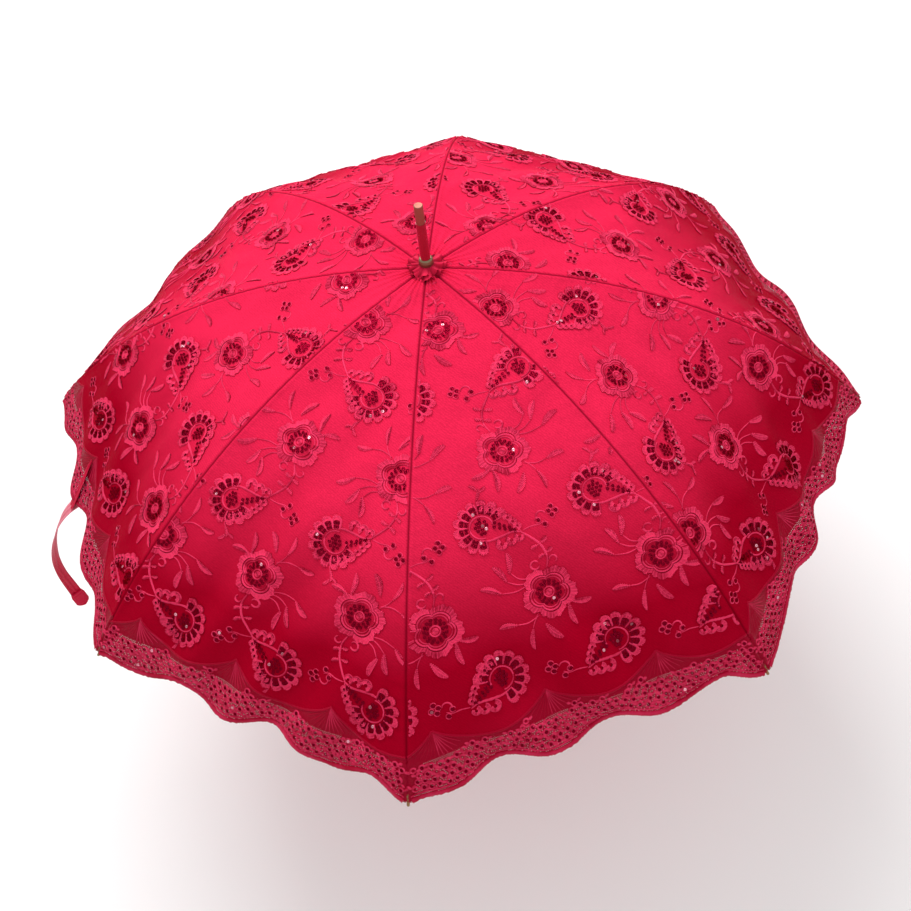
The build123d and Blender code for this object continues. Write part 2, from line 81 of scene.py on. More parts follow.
MM = 0.001
RIBS = 8
GORES = range(1, RIBS + 1)
HALF_PITCH = math.pi / RIBS
STRAP_RIB = 7
STRAP_TURN = math.radians(20.0)
STRAP_WIDTH = 14.0 * MM
TAB_TURN = 1.1
STITCH_STEP = 0.75
SEQUIN_LIFT = 0.55 * MM
ROOT_3 = math.sqrt(3)
UP = np.array((0, 0, 1.0))

# ------------------------------------------------------------------ sizes read from the frame
joints = {joint["name"]: joint for joint in frame["record"]["behaviour"]["joints"]}
hinge = joints["rib_hinge_3"]["pos_m"]
HINGE_RADIUS = math.hypot(hinge[0], hinge[1])
HINGE_DROP = 2.5 * MM
CROWN_Z = hinge[2] + HINGE_DROP
tip_low, tip_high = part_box("rib_tip_3")
TIP_ROD = 1.3 * MM
RIM_RADIUS = tip_high[0] - TIP_ROD
TIP_Z = tip_low[2] + TIP_ROD
CHORD_ANGLE = math.atan2(CROWN_Z - TIP_Z, RIM_RADIUS - HINGE_RADIUS)
ARC_RADIUS = math.hypot(CROWN_Z - TIP_Z, RIM_RADIUS - HINGE_RADIUS) / (2 * math.sin(CHORD_ANGLE))
RIB_LENGTH = 2 * CHORD_ANGLE * ARC_RADIUS


def rib_azimuth(number):
    """Angle round the shaft of rib 1 to 8, in radians."""
    return -math.pi / 2 + 2 * HALF_PITCH * (number - 1)


def level_arrows(azimuth):
    """Level arrows of length 1 at an angle round the shaft: one outward and one sideways."""
    outward = np.array((math.cos(azimuth), math.sin(azimuth), 0.0))
    return outward, np.array((-outward[1], outward[0], 0.0))


STRAP_AZIMUTH = rib_azimuth(STRAP_RIB) + STRAP_TURN


# ------------------------------------------------------------------ settings
class ClothSettings(bpy.types.PropertyGroup):
    lift: FloatProperty(
        name="Lift over ribs",
        description="Height of the cloth's outer face over the middle line of the ribs",
        default=2.9 * MM,
        unit="LENGTH",
    )
    thickness: FloatProperty(
        name="Cloth thickness",
        description="Thickness of the canopy cloth",
        default=0.4 * MM,
        unit="LENGTH",
    )
    sag: FloatProperty(
        name="Sag",
        description="How far the cloth sinks halfway between two ribs",
        default=4.0 * MM,
        unit="LENGTH",
    )
    hem: FloatProperty(
        name="Lining hem",
        description="Length of the opaque cloth along a rib, from the crown",
        default=RIB_LENGTH - 34.0 * MM,
        unit="LENGTH",
    )
    colour: FloatVectorProperty(
        name="Cloth colour",
        description="Colour of the canopy cloth",
        default=(0.37, 0.0002, 0.0145),
        subtype="COLOR",
        size=3,
    )
    # Painted highlight: this lighter colour is mixed into the cloth towards the crown, where the
    # cloth faces the key light.
    bloom: FloatVectorProperty(
        name="Bloom colour",
        description="Lighter colour of the cloth's silky bloom near the crown",
        default=(1.0, 0.024, 0.098),
        subtype="COLOR",
        size=3,
    )


class StitchSettings(bpy.types.PropertyGroup):
    repeat: FloatProperty(
        name="Pattern repeat",
        description="Width of one repeat of the embroidery",
        default=97.5 * MM,
        unit="LENGTH",
    )
    sequin_radius: FloatProperty(
        name="Sequin radius",
        description="Outer radius of a sequin",
        default=1.45 * MM,
        unit="LENGTH",
    )
    thread: FloatVectorProperty(
        name="Thread colour",
        description="Colour of the embroidery thread where it shines",
        default=(0.97, 0.045, 0.145),
        subtype="COLOR",
        size=3,
    )
    thread_shade: FloatVectorProperty(
        name="Shaded thread colour",
        description="Colour of the embroidery thread where it lies across the light",
        default=(0.34, 0.0008, 0.018),
        subtype="COLOR",
        size=3,
    )
    sequin: FloatVectorProperty(
        name="Sequin colour",
        description="Colour of the sequins",
        default=(0.19, 0.0015, 0.014),
        subtype="COLOR",
        size=3,
    )


class LaceSettings(bpy.types.PropertyGroup):
    cell: FloatProperty(
        name="Net cell",
        description="Distance between two holes of the net",
        default=1.75 * MM,
        unit="LENGTH",
    )
    thread: FloatProperty(
        name="Net thread",
        description="Width of the threads between the holes",
        default=1.25 * MM,
        unit="LENGTH",
    )
    cusp_line: FloatProperty(
        name="Cusp line",
        description="Length along a rib from the crown to the points of the scalloped line",
        default=RIB_LENGTH - 57.0 * MM,
        unit="LENGTH",
    )
    scallop_depth: FloatProperty(
        name="Scallop depth",
        description="Depth of the scallops of the stitched line",
        default=19.0 * MM,
        unit="LENGTH",
    )
    edge_line: FloatProperty(
        name="Outer edge",
        description="Length along a rib from the crown to the lobes of the lace",
        default=RIB_LENGTH - 2.5 * MM,
        unit="LENGTH",
    )
    notch_depth: FloatProperty(
        name="Notch depth",
        description="How far the lace's outer edge steps back between two lobes",
        default=13.0 * MM,
        unit="LENGTH",
    )
    colour: FloatVectorProperty(
        name="Net colour",
        description="Colour of the net",
        default=(0.37, 0.0008, 0.020),
        subtype="COLOR",
        size=3,
    )


class TrimSettings(bpy.types.PropertyGroup):
    ruffles: IntProperty(
        name="Ruffles",
        description="Number of folds round the rosette",
        default=8,
    )
    # Painted highlight: this light colour is laid over the upper part of the loose ribbon, where it
    # faces the light; the strap's own red is the tab colour.
    ribbon: FloatVectorProperty(
        name="Ribbon colour",
        description="Colour of the tie strap's satin side",
        default=(0.80, 0.20, 0.27),
        subtype="COLOR",
        size=3,
    )
    tab: FloatVectorProperty(
        name="Tab colour",
        description="Colour of the strap's cloth tab",
        default=(0.58, 0.003, 0.040),
        subtype="COLOR",
        size=3,
    )
    lacquer: FloatVectorProperty(
        name="Lacquer colour",
        description="Colour of the lacquered stick, shaft and handle",
        default=(0.42, 0.006, 0.022),
        subtype="COLOR",
        size=3,
    )
    brass: FloatVectorProperty(
        name="Brass colour",
        description="Colour of the aged brass fittings",
        default=(0.40, 0.24, 0.11),
        subtype="COLOR",
        size=3,
    )


class StageSettings(bpy.types.PropertyGroup):
    azimuth: FloatProperty(
        name="Camera azimuth",
        description="Turn of the camera round the parasol",
        default=math.radians(10.25),
        subtype="ANGLE",
    )
    elevation: FloatProperty(
        name="Camera elevation",
        description="Angle of the camera's axis below the horizon",
        default=math.radians(53.63),
        subtype="ANGLE",
    )
    roll: FloatProperty(
        name="Camera roll",
        description="Turn of the picture about the camera's axis",
        default=math.radians(-7.93),
        subtype="ANGLE",
    )
    distance: FloatProperty(
        name="Camera distance",
        description="Distance from the camera to its target",
        default=2.4345 * RIM_RADIUS,
        unit="LENGTH",
    )
    target: FloatVectorProperty(
        name="Camera target",
        description="Point of the rim's plane that the camera looks at",
        default=(0.0355 * RIM_RADIUS, -0.1673 * RIM_RADIUS, TIP_Z),
        subtype="TRANSLATION",
        size=3,
    )
    lens: FloatProperty(
        name="Lens",
        description="Focal length in millimetres on a 36 mm sensor",
        default=40.02,
    )
    key: FloatProperty(
        name="Key light", description="Power of the key light in watts", default=44.0
    )
    fill: FloatProperty(
        name="Fill light", description="Power of the fill light in watts", default=4.0
    )
    floor: FloatVectorProperty(
        name="Floor colour",
        description="Colour of the floor",
        default=(0.95, 0.95, 0.95),
        subtype="COLOR",
        size=3,
    )


def settings(name):
    return getattr(bpy.context.scene, "parasol_" + name)


# ------------------------------------------------------------------ shader helper
class Wire:
    """A socket whose arithmetic adds Math nodes."""

    def __init__(self, finish, socket):
        self.finish = finish
        self.socket = socket

    def maths(self, operation, first, second):
        return self.finish.add("ShaderNodeMath", {"operation": operation}, {0: first, 1: second})

    def __add__(self, other):
        return self.maths("ADD", self, other)

    __radd__ = __add__

    def __sub__(self, other):
        return self.maths("SUBTRACT", self, other)

    def __rsub__(self, other):
        return self.maths("SUBTRACT", other, self)

    def __mul__(self, other):
        return self.maths("MULTIPLY", self, other)

    __rmul__ = __mul__


class Finish:
    """A material under construction."""

    def __init__(self, name):
        self.material = bpy.data.materials.new(name)
        self.material.use_nodes = True
        self.tree = self.material.node_tree
        self.shader = self.tree.nodes["Principled BSDF"]

    def add(self, kind, options=None, values=None, output=0):
        """Adds a node: its options first, then a value or a link for each socket."""
        node = self.tree.nodes.new(kind)
        for name, option in (options or {}).items():
            if name == "stops":
                self.set_stops(node.color_ramp, option)
            else:
                setattr(node, name, option)
        for name, value in (values or {}).items():
            self.feed(node.inputs[name], value)
        return Wire(self, node.outputs[output])

    @staticmethod
    def set_stops(ramp, stops):
        while len(ramp.elements) < len(stops):
            ramp.elements.new(1.0)
        for element, (position, colour) in zip(ramp.elements, stops):
            element.position = position
            element.color = colour

    def feed(self, socket, value):
        if isinstance(value, Wire):
            self.tree.links.new(value.socket, socket)
        elif isinstance(value, (tuple, list)) and len(value) < len(socket.default_value):
            socket.default_value = (*value, 1.0)
        else:
            socket.default_value = value

    def surface(self, **values):
        """Sets the shader's own sockets; underscores in a name stand for spaces."""
        for name, value in values.items():
            self.feed(self.shader.inputs[name.replace("_", " ")], value)

    def place(self):
        return self.add("ShaderNodeTexCoord", output="Object")

    def noise(self, where, scale, detail=3.0, rough=0.5):
        return self.add(
            "ShaderNodeTexNoise",
            {},
            {"Vector": where, "Scale": scale, "Detail": detail, "Roughness": rough},
        )

    def stretched(self, where, scale):
        return self.add("ShaderNodeMapping", {}, {"Vector": where, "Scale": scale})

    def stripes(self, where, direction, scale, distortion, detail=2.0, detail_scale=1.0):
        """Wavy bands for weaves and strands."""
        values = {"Vector": where, "Scale": scale, "Distortion": distortion}
        values.update({"Detail": detail, "Detail Scale": detail_scale})
        return self.add("ShaderNodeTexWave", {"bands_direction": direction}, values, output="Fac")

    def painted(self, name):
        """The number that each point of the piece carries under a name."""
        return self.add("ShaderNodeAttribute", {"attribute_name": name}, output="Fac")

    def climb(self, value, low, high):
        """Goes from 0 at a low value to 1 at a high one."""
        return self.add(
            "ShaderNodeMapRange", {}, {"Value": value, "From Min": low, "From Max": high}
        )

    def height(self, where):
        return self.add("ShaderNodeSeparateXYZ", {}, {"Vector": where}, output="Z")

    def between(self, share, first, second):
        """Colour mixed from two by a share from 0 to 1."""
        colours = {"Factor": share, "A": first, "B": second}
        return self.add("ShaderNodeMix", {"data_type": "RGBA"}, colours, output="Result")

    def bump(self, height, strength, distance, base=None):
        values = {"Height": height, "Strength": strength, "Distance": distance}
        if base is not None:
            values["Normal"] = base
        return self.add("ShaderNodeBump", {}, values)


def three(values):
    return tuple(values)[:3]


def darker(colour, share):
    return tuple(channel * share for channel in three(colour))


# ------------------------------------------------------------------ the shape of the cloth
def rib_line(along):
    """Radius, height and slope of the ribs' arc at a length from the crown."""
    slope = np.maximum(along, 0.0) / ARC_RADIUS
    radius = HINGE_RADIUS + ARC_RADIUS * np.sin(slope) + np.minimum(along, 0.0)
    height = CROWN_Z - ARC_RADIUS * (1 - np.cos(slope))
    return radius, height, slope


def half_width(along):
    """Half the distance between two ribs."""
    return rib_line(along)[0] * math.sin(HALF_PITCH)


def panel_azimuth(panel):
    return rib_azimuth(panel + 1) + HALF_PITCH


def drape(panel, across, along):
    """How far the cloth stands out of the straight line from rib to rib."""
    half = half_width(along)
    share = np.clip(across / half, -1, 1)
    open_share = 1 - share**2
    run = np.clip(along / RIB_LENGTH, 0, 1)
    seam = half - np.abs(across)
    sag = -settings("cloth").sag * open_share * np.sin(math.pi * run**0.8)
    groove = -0.8 * MM * np.exp(-((seam / (1.3 * MM)) ** 2))
    welt = 0.55 * MM * np.exp(-(((seam - 3.2 * MM) / (1.8 * MM)) ** 2))
    stitched = np.exp(-seam / (7 * MM)) - np.exp(-seam / (2.5 * MM))
    pucker = 0.7 * MM * np.cos(2 * math.pi * along / (11 * MM)) * stitched
    gathered = np.exp(-np.maximum(along, 0) / (42 * MM))
    crown = 1.1 * MM * gathered * (np.cos(5 * math.pi * share) + 1) * open_share
    lean = 0.9 + 0.35 * math.sin(2.1 * panel)
    fold_phase = (
        across / (78 * MM) * lean + along / (140 * MM) * (1 if panel % 2 else -1) + 0.31 * panel
    )
    folds = 4.2 * MM * np.sin(2 * math.pi * fold_phase) * open_share * run
    ripple_phase = across / (31 * MM) + along / (260 * MM) + 0.17 * panel
    ripples = 0.6 * MM * np.sin(2 * math.pi * ripple_phase) * open_share * (1 - run) ** 0.5
    return sag + groove + welt + pucker + crown + folds + ripples


def on_cloth(panel, across, along, lift):
    """Points over a panel: across from its middle, along from the crown, lift off the cloth."""
    across = np.asarray(across, dtype=float)
    along = np.asarray(along, dtype=float)
    radius, height, slope = rib_line(along)
    middle = radius * math.cos(HALF_PITCH)
    azimuth = panel_azimuth(panel)
    x = middle * math.cos(azimuth) - across * math.sin(azimuth)
    y = middle * math.sin(azimuth) + across * math.cos(azimuth)
    reach = np.maximum(np.hypot(x, y), 1e-9)
    out = lift + settings("cloth").lift + drape(panel, across, along)
    level = np.sin(slope) * out / reach
    return np.stack([x + x * level, y + y * level, height + np.cos(slope) * out], axis=-1)


def gore_of(panel, across):
    """Number of the rib whose gore holds a point of a panel."""
    return panel + 1 if across < 0 else (panel + 1) % RIBS + 1


# ------------------------------------------------------------------ mesh building
def new_mesh_object(name, points, faces, finish, flat_faces=0):
    """Smooth mesh object whose last few faces, the cut edge of a sheet, stay flat."""
    mesh = bpy.data.meshes.new(name)
    mesh.from_pydata(points, [], faces)
    mesh.update()
    mesh.polygons.foreach_set("use_smooth", np.arange(len(faces)) < len(faces) - flat_faces)
    piece = bpy.data.objects.new(name, mesh)
    bpy.context.scene.collection.objects.link(piece)
    piece.data.materials.append(finish.material)
    return piece


def paint_points(piece, name, values):
    """Gives each point of a piece a number that its finish reads."""
    layer = piece.data.attributes.new(name, "FLOAT", "POINT")
    layer.data.foreach_set("value", np.asarray(values).astype(np.float32))


def grid_faces(rows, columns, start=0, closed_rows=False, closed_columns=False):
    """Quads of a grid of rows and columns of points."""
    row_count = rows if closed_rows else rows - 1
    column_count = columns if closed_columns else columns - 1
    r, c = np.meshgrid(np.arange(row_count), np.arange(column_count), indexing="ij")
    r2 = (r + 1) % rows
    c2 = (c + 1) % columns
    quads = np.stack(
        [r * columns + c, r2 * columns + c, r2 * columns + c2, r * columns + c2], axis=-1
    )
    return quads.reshape(-1, 4) + start


def shell_faces(rows, columns):
    """Faces of a sheet with two sides, closed round its edge."""
    top = grid_faces(rows, columns)
    bottom = grid_faces(rows, columns, start=rows * columns)[:, ::-1]
    shift = rows * columns
    rim = np.concatenate([
        np.arange(columns),
        np.arange(1, rows) * columns + columns - 1,
        (rows - 1) * columns + np.arange(columns - 2, -1, -1),
        np.arange(rows - 2, 0, -1) * columns,
    ])
    after = np.roll(rim, -1)
    side = np.stack([rim, after, after + shift, rim + shift], axis=-1)
    return np.concatenate([top, bottom, side])


class Patchwork:
    """Gathers shapes, with a shade for each point, into one mesh."""

    def __init__(self):
        self.points = []
        self.faces = []
        self.shades = []
        self.count = 0

    def add(self, points, faces, shade=0.5):
        self.points.append(points)
        self.faces.extend((faces + self.count).tolist())
        self.shades.append(np.broadcast_to(shade, (len(points),)))
        self.count += len(points)

    def build(self, name, finish):
        piece = new_mesh_object(name, np.concatenate(self.points).tolist(), self.faces, finish)
        paint_points(piece, "shade", np.concatenate(self.shades))
        return piece


def patchworks():
    return {number: Patchwork() for number in GORES}


# ------------------------------------------------------------------ needlework, in millimetres
def curve_through(points, step=STITCH_STEP):
    """Smooth line through a few points, with points a stitch apart."""
    ring = [np.array(point, dtype=float) for point in points]
    ring = [2 * ring[0] - ring[1], *ring, 2 * ring[-1] - ring[-2]]
    dense = []
    shares = np.linspace(0, 1, 12, endpoint=False)[:, None]
    for a, b, c, d in zip(ring, ring[1:], ring[2:], ring[3:]):
        bend = (2 * a - 5 * b + 4 * c - d) * shares**2 + (3 * b - a - 3 * c + d) * shares**3
        dense.append(0.5 * (2 * b + (c - a) * shares + bend))
    dense.append(ring[-2][None, :])
    return evenly(np.concatenate(dense), step)


def evenly(line, step):
    """The same line with points evenly spaced."""
    lengths = np.concatenate([[0], np.cumsum(np.hypot(*np.diff(line, axis=0).T))])
    count = max(3, int(lengths[-1] / step) + 1)
    at = np.linspace(0, lengths[-1], count)
    return np.stack(
        [np.interp(at, lengths, line[:, 0]), np.interp(at, lengths, line[:, 1])], axis=-1
    )


def arc_line(centre, radius, start, end):
    """Arc in degrees about a centre."""
    count = max(4, int(abs(end - start) / 360 * 2 * math.pi * radius / STITCH_STEP))
    turn = np.radians(np.linspace(start, end, count))
    return np.stack([centre[0] + radius * np.cos(turn), centre[1] + radius * np.sin(turn)], axis=-1)


def swelling(line, width, taper=0.5):
    """Widths along a line, full in the middle and narrow at the ends."""
    share = np.linspace(0, 1, len(line))
    return width * np.maximum(np.sin(math.pi * share), 0.0) ** taper + 0.15


class Needlework:
    """Stitched lines and sequins of one motif on the flat."""

    def __init__(self):
        self.lines = []
        self.sequins = []

    def line(self, points, width, height=0.6, tapered=True, painted_sheen=0.0):
        # The last argument shifts the line's painted light and shade: lighter above 0, darker
        # below.
        widths = swelling(points, width, 0.25) if tapered else np.full(len(points), width)
        self.lines.append((points, widths, height, painted_sheen))

    def leaf(self, base, tip, width):
        """Narrow leaf of slanting stitches on both sides of its vein."""
        base, tip = np.array(base, dtype=float), np.array(tip, dtype=float)
        run = tip - base
        length = float(np.hypot(*run))
        ahead = run / length
        side = np.array((-ahead[1], ahead[0]))
        bow = side * length * 0.08
        for count, share in enumerate(np.arange(0.04, 0.98, 1.45 / length)):
            middle = base + run * share + bow * math.sin(math.pi * share)
            half = width / 2 * math.sin(math.pi * min(share * 0.92 + 0.06, 1)) ** 0.75
            for way in (-1, 1):
                end = middle + side * way * half + ahead * half * 0.75
                light = 0.12 + 0.16 * way + 0.18 * math.sin(2.1 * count)
                self.line(
                    np.array([middle, (middle + end) / 2, end]),
                    1.15,
                    1.0,
                    tapered=False,
                    painted_sheen=light,
                )
        vein = np.array([base, (base + tip) / 2 + bow, tip])
        self.line(curve_through(vein), 0.7, 1.15)

    def rays(self, lengths, width=1.25, height=1.1, painted_sheen=0.0):
        """Satin stitches side by side, with painted light making some lighter than their
        neighbours.
        """
        for number, (start, end) in enumerate(lengths):
            start, end = np.array(start), np.array(end)
            uneven = 0.06 * math.sin(5.3 * number) * (end - start)
            middle = (start + end) / 2
            light = painted_sheen + 0.3 * math.sin(2.4 * number) + 0.12 * math.sin(0.9 * number)
            self.line(
                np.array([start, middle, end + uneven]), width, height, tapered=False, painted_sheen=light
            )

    def lump(self, centre, reach, start, end):
        """Round pad of satin stitches that fan out from its centre, angles in degrees."""
        turns = np.radians(np.arange(start, end, 62.0 / reach))
        out = np.stack([np.cos(turns), np.sin(turns)], axis=-1)
        centre = np.array(centre)
        self.rays(
            [(centre + way * reach * 0.35, centre + way * reach) for way in out], 1.3, 1.3, 0.12
        )

    def sequin(self, x, y):
        self.sequins.append((x, y))


def petal_wave(turn):
    """Goes from 0 between two of the flower's five petals to 1 in the middle of each."""
    return np.abs(np.cos(2.5 * turn + 0.6)) ** 0.7


def flower(work):
    """Five petals in a wide satin band with a cord inside, rings of sequins and a wound centre."""
    flatness, stitches = 0.94, 112
    turn = np.linspace(0, 2 * math.pi, 200)
    lobes = petal_wave(turn)
    for reach, depth, width, height, painted_sheen in (
        (13.1, 3.4, 1.7, 1.3, 0.05), (11.2, 2.8, 1.3, 1.0, -0.3)
    ):
        radius = reach + depth * lobes
        outline = np.stack([radius * np.cos(turn), radius * np.sin(turn) * flatness], axis=-1)
        work.line(evenly(outline, STITCH_STEP), width, height, tapered=False, painted_sheen=painted_sheen)
    numbers = np.arange(stitches)
    angles = 2 * math.pi * numbers / stitches
    lobe = petal_wave(angles)
    ways = np.stack([np.cos(angles), np.sin(angles) * flatness], axis=-1)
    ragged = 0.35 * np.sin(5.3 * numbers) + 0.3 * np.sin(1.7 * numbers)
    inner, outer = 14.4 + 3.8 * lobe, 18.6 + 4.9 * lobe + ragged
    work.rays(zip(ways * inner[:, None], ways * outer[:, None]), painted_sheen=0.12)
    for ring_radius, count in ((9.4, 15), (6.9, 10)):
        for number in range(count):
            angle = 2 * math.pi * number / count + ring_radius
            work.sequin(ring_radius * math.cos(angle), ring_radius * math.sin(angle))
    work.line(arc_line((0, 0), 4.3, 0, 360), 1.5, 1.2, tapered=False)
    spiral = np.linspace(0, 6 * math.pi, 60)
    coil = np.stack([0.15 * spiral * np.cos(spiral), 0.15 * spiral * np.sin(spiral)], axis=-1)
    work.line(coil, 1.1, 1.0)


def sprays(work):
    """Stems and satin leaves round a flower."""
    stems = (
        ((14, -14), (19, -20), (22, -25)),
        ((14, -16), (24, -19), (33, -18)),
        ((14, 11), (26, 9), (38, 11)),
        ((14, 12), (23, 14), (31, 19)),
        ((10, 15), (20, 18), (26, 25)),
        ((-10, -12), (-12, -14), (-13, -17)),
    )
    for stem in stems:
        work.line(curve_through(stem), 1.0, 0.9)
    leaves = (
        ((22, -25), (25, -43), 3.6),
        ((11, -24), (0, -40), 5.4),
        ((33, -18), (48, -17), 4.6),
        ((38, 11), (54, 20), 5.0),
        ((31, 19), (39, 35), 5.0),
        ((27, 25), (24, 43), 5.0),
        ((-13, -15), (-15, -34), 4.6),
        ((-16, -14), (-32, -16), 4.8),
    )
    for base, tip, width in leaves:
        work.leaf(base, tip, width)


def vine(work):
    """Stem from the flower to the paisley, with curls and small leaves."""
    work.line(curve_through([(-4, 20), (-7, 29), (-5, 40), (1, 49), (8, 57)]), 1.9, 1.1)
    work.line(arc_line((4.5, 25), 3.6, -160, 150), 1.8, 1.1)
    work.line(arc_line((-11, 26), 3.0, 0, 250), 1.5, 1.0)
    for base, tip in (
        ((-6, 33), (-13, 36)), ((-6, 32), (0, 30)), ((-4, 42), (-11, 46)), ((-3, 41), (4, 39))
    ):
        work.leaf(base, tip, 3.0)
    work.leaf((34, 94), (30, 104), 2.6)
    work.leaf((31, 100), (24, 103), 2.4)
    work.leaf((31, 101), (37, 108), 2.4)
    work.line(curve_through([(36, 91), (33, 97), (30, 103)]), 0.8, 0.5)


def paisley(work):
    """Teardrop with a fan of petals round its head and lumps along its back and belly."""
    head = np.array((37.0, 70.0))
    tail = (6.0, 56.0)
    work.line(curve_through([tail, (14, 58.5), (24, 57.5), (34, 57.0), (42, 59.5)]), 2.2, 1.2)
    belly = [(7, 57), (11, 64), (16.5, 71.5), (23.5, 78.5), (30, 81)]
    work.line(curve_through(belly), 1.6, 1.0)
    for centre in curve_through(
        [(9, 62), (12.5, 68.5), (18, 75.5), (25, 81.5), (31, 84)], step=5.2
    ):
        work.lump(centre, 3.6, -15, 275)
    work.line(arc_line(head, 9.8, -95, 190), 1.5, 1.1, tapered=False)
    for centre, reach, start in (
        ((9.5, 52.8), 3.6, 165), ((16.5, 52.0), 4.2, 175), ((25.0, 51.2), 4.6, 185)
    ):
        work.lump(centre, reach, start, start + 250)
        work.line(
            arc_line(centre, reach + 0.4, start, start + 250), 1.3, 1.0, tapered=False, painted_sheen=-0.15
        )
    petals = 10
    for number in range(petals):
        angle = math.radians(-78 + 235 * number / (petals - 1))
        out = np.array((math.cos(angle), math.sin(angle)))
        side = np.array((-out[1], out[0]))
        loop = [
            head + out * 11.0 + side * 2.5,
            head + out * 17.8 + side * 3.6,
            head + out * 21.6 + side * 2.0,
            head + out * 21.6 - side * 2.0,
            head + out * 17.8 - side * 3.6,
            head + out * 11.0 - side * 2.5,
        ]
        work.line(curve_through(loop), 2.2, 1.3)
        spread = np.linspace(-1, 1, 6)
        low = [head + out * (19.4 - 0.8 * abs(part)) + side * part * 2.2 for part in spread]
        high = [head + out * (24.0 - 1.8 * part**2) + side * part * 3.4 for part in spread]
        work.rays(zip(low, high), 1.3, 1.5, 0.15)
        for shift in (-1.35, 1.35):
            for reach in (13.2, 16.8):
                work.sequin(*(head + out * reach + side * shift))
    for row, count in ((-5.4, 2), (-2.2, 3), (1.0, 4), (4.2, 3), (7.0, 1)):
        for number in range(count):
            work.sequin(head[0] + (number - (count - 1) / 2) * 3.3, head[1] + row)
    for number in range(5):
        work.sequin(27.0 - 3.9 * number, 67.0 - 2.1 * number)
        work.sequin(26.0 - 3.6 * number, 70.6 - 2.5 * number)


def sprig(work):
    """Small twig with sequins, which links one paisley to the next."""
    work.line(curve_through([(6, 57), (-2, 58), (-9, 57.5), (-14, 60)]), 1.0, 0.6)
    work.line(arc_line((-12, 64), 4.2, -60, 170), 1.3, 0.7)
    for x, y in ((-13, 56), (-8, 61), (-21, 62), (-19, 66), (-25, 65), (-22, 69.5)):
        work.sequin(x, y)
        work.line(arc_line((x, y), 2.4, 0, 330), 1.0, 0.9)


def full_motif(with_flower=True):
    work = Needlework()
    if with_flower:
        flower(work)
        sprays(work)
        vine(work)
    paisley(work)
    sprig(work)
    return work


def placed_motifs(panel):
    """Each motif of a panel: its place, its left or right turn and which way up it stands."""
    upside_down = panel % 2 == 0
    shift = 5.0 * math.sin(1.7 * panel + 0.4)
    if upside_down:
        rows = ((456, 3, 1, False), (328, -2, -1, True), (199, -1, 1, True), (67, -15, -1, True))
    else:
        rows = ((325, -19, 1, True), (202, -26, -1, True), (72, -21, 1, True))
    repeat = settings("stitch").repeat / MM
    for along, across, turn, with_flower in rows:
        for number in range(-2, 3):
            flip = -1 if upside_down else 1
            yield along, across + shift + number * repeat, turn, flip, with_flower


def kept_runs(inside):
    """Start and end of each stretch of a line that lies inside."""
    marks = np.flatnonzero(np.diff(np.concatenate([[0], inside.astype(int), [0]])))
    return [(a, b) for a, b in zip(marks[::2], marks[1::2]) if b - a >= 3]


PROFILE = np.array([-1.0, -0.62, 0.0, 0.62, 1.0])
BULGE = np.array([0.0, 0.78, 1.0, 0.78, 0.0])
# Painted shade across a stitched line: lighter on its crest, darker towards its edges.
CREST_SHADE = np.array([-0.38, 0.0, 0.15, 0.0, -0.38])


def stitch_line(works, panel, path, widths, height, base=0.05 * MM, sheen=0.0):
    """Raised satin line on the cloth; path, widths and height are in metres."""
    step = np.gradient(path, axis=0)
    step /= np.maximum(np.hypot(step[:, 0], step[:, 1])[:, None], 1e-12)
    side = np.stack([-step[:, 1], step[:, 0]], axis=-1)
    ridge = np.where(np.arange(len(path)) % 2 == 0, 1.0, 0.6)
    uneven = 1 + 0.16 * np.sin(path[:, 0] * 9100 + 1.7 * path[:, 1] * 5300) + 0.1 * (ridge - 0.8)
    offsets = PROFILE[None, :] * (widths * uneven)[:, None] / 2
    across = path[:, 0, None] + side[:, 0, None] * offsets
    along = path[:, 1, None] + side[:, 1, None] * offsets
    lift = base + BULGE[None, :] * (height * ridge)[:, None]
    points = on_cloth(panel, across.ravel(), along.ravel(), lift.ravel())
    faces = grid_faces(len(path), len(PROFILE))
    # Painted light and shade: each line's shade, which picks the thread's lit or shaded colour,
    # rises and falls with its given sheen, the way its stitches run and every other stitch.
    lie = 0.62 + sheen + 0.4 * step[:, 1] * np.sign(step[:, 0] + 1e-9) + 0.3 * (ridge - 0.8)
    shine = (lie[:, None] + CREST_SHADE[None, :]).ravel()
    works[gore_of(panel, path[:, 0].mean())].add(points, faces, shine)


def inside_panel(across, along, margin, lowest):
    return (np.abs(across) < half_width(along) - margin) & (along > 12 * MM) & (along < lowest)


def scallop_phase(panel, across):
    """Place within one scallop, 0 at its cusp and 1 at the next."""
    repeat = settings("stitch").repeat
    return ((across - cusp_shift(panel)) / repeat) % 1.0


def cusp_shift(panel):
    return (-25.0 + 6.5 * math.sin(2.3 * panel + 3.4)) * MM


def scallop_line(panel, across):
    """Length from the crown to the stitched scalloped line."""
    lace = settings("lace")
    bulge = np.sin(math.pi * scallop_phase(panel, across)) ** 0.75
    return lace.cusp_line + lace.scallop_depth * bulge


def outer_edge(panel, across):
    """Length from the crown to the lace's outer edge, with lobes at cusps and rib tips."""
    lace = settings("lace")
    swing = scallop_phase(panel, across)
    notch = np.sin(math.pi * swing) ** 2.6
    near_rib = np.clip((half_width(RIB_LENGTH) - np.abs(across)) / (38 * MM), 0, 1)
    pulled = near_rib**1.5 * (3 - 2 * near_rib**0.5)
    return lace.edge_line - lace.notch_depth * notch * np.clip(pulled, 0, 1)


def sequin_shape(radius):
    """Small cupped disc with a hole, as rings of points."""
    rings = ((0.22, 0.30), (0.62, 0.16), (1.0, 0.34), (0.96, 0.26), (0.60, 0.06), (0.22, 0.20))
    return [(reach * radius, rise * radius) for reach, rise in rings]


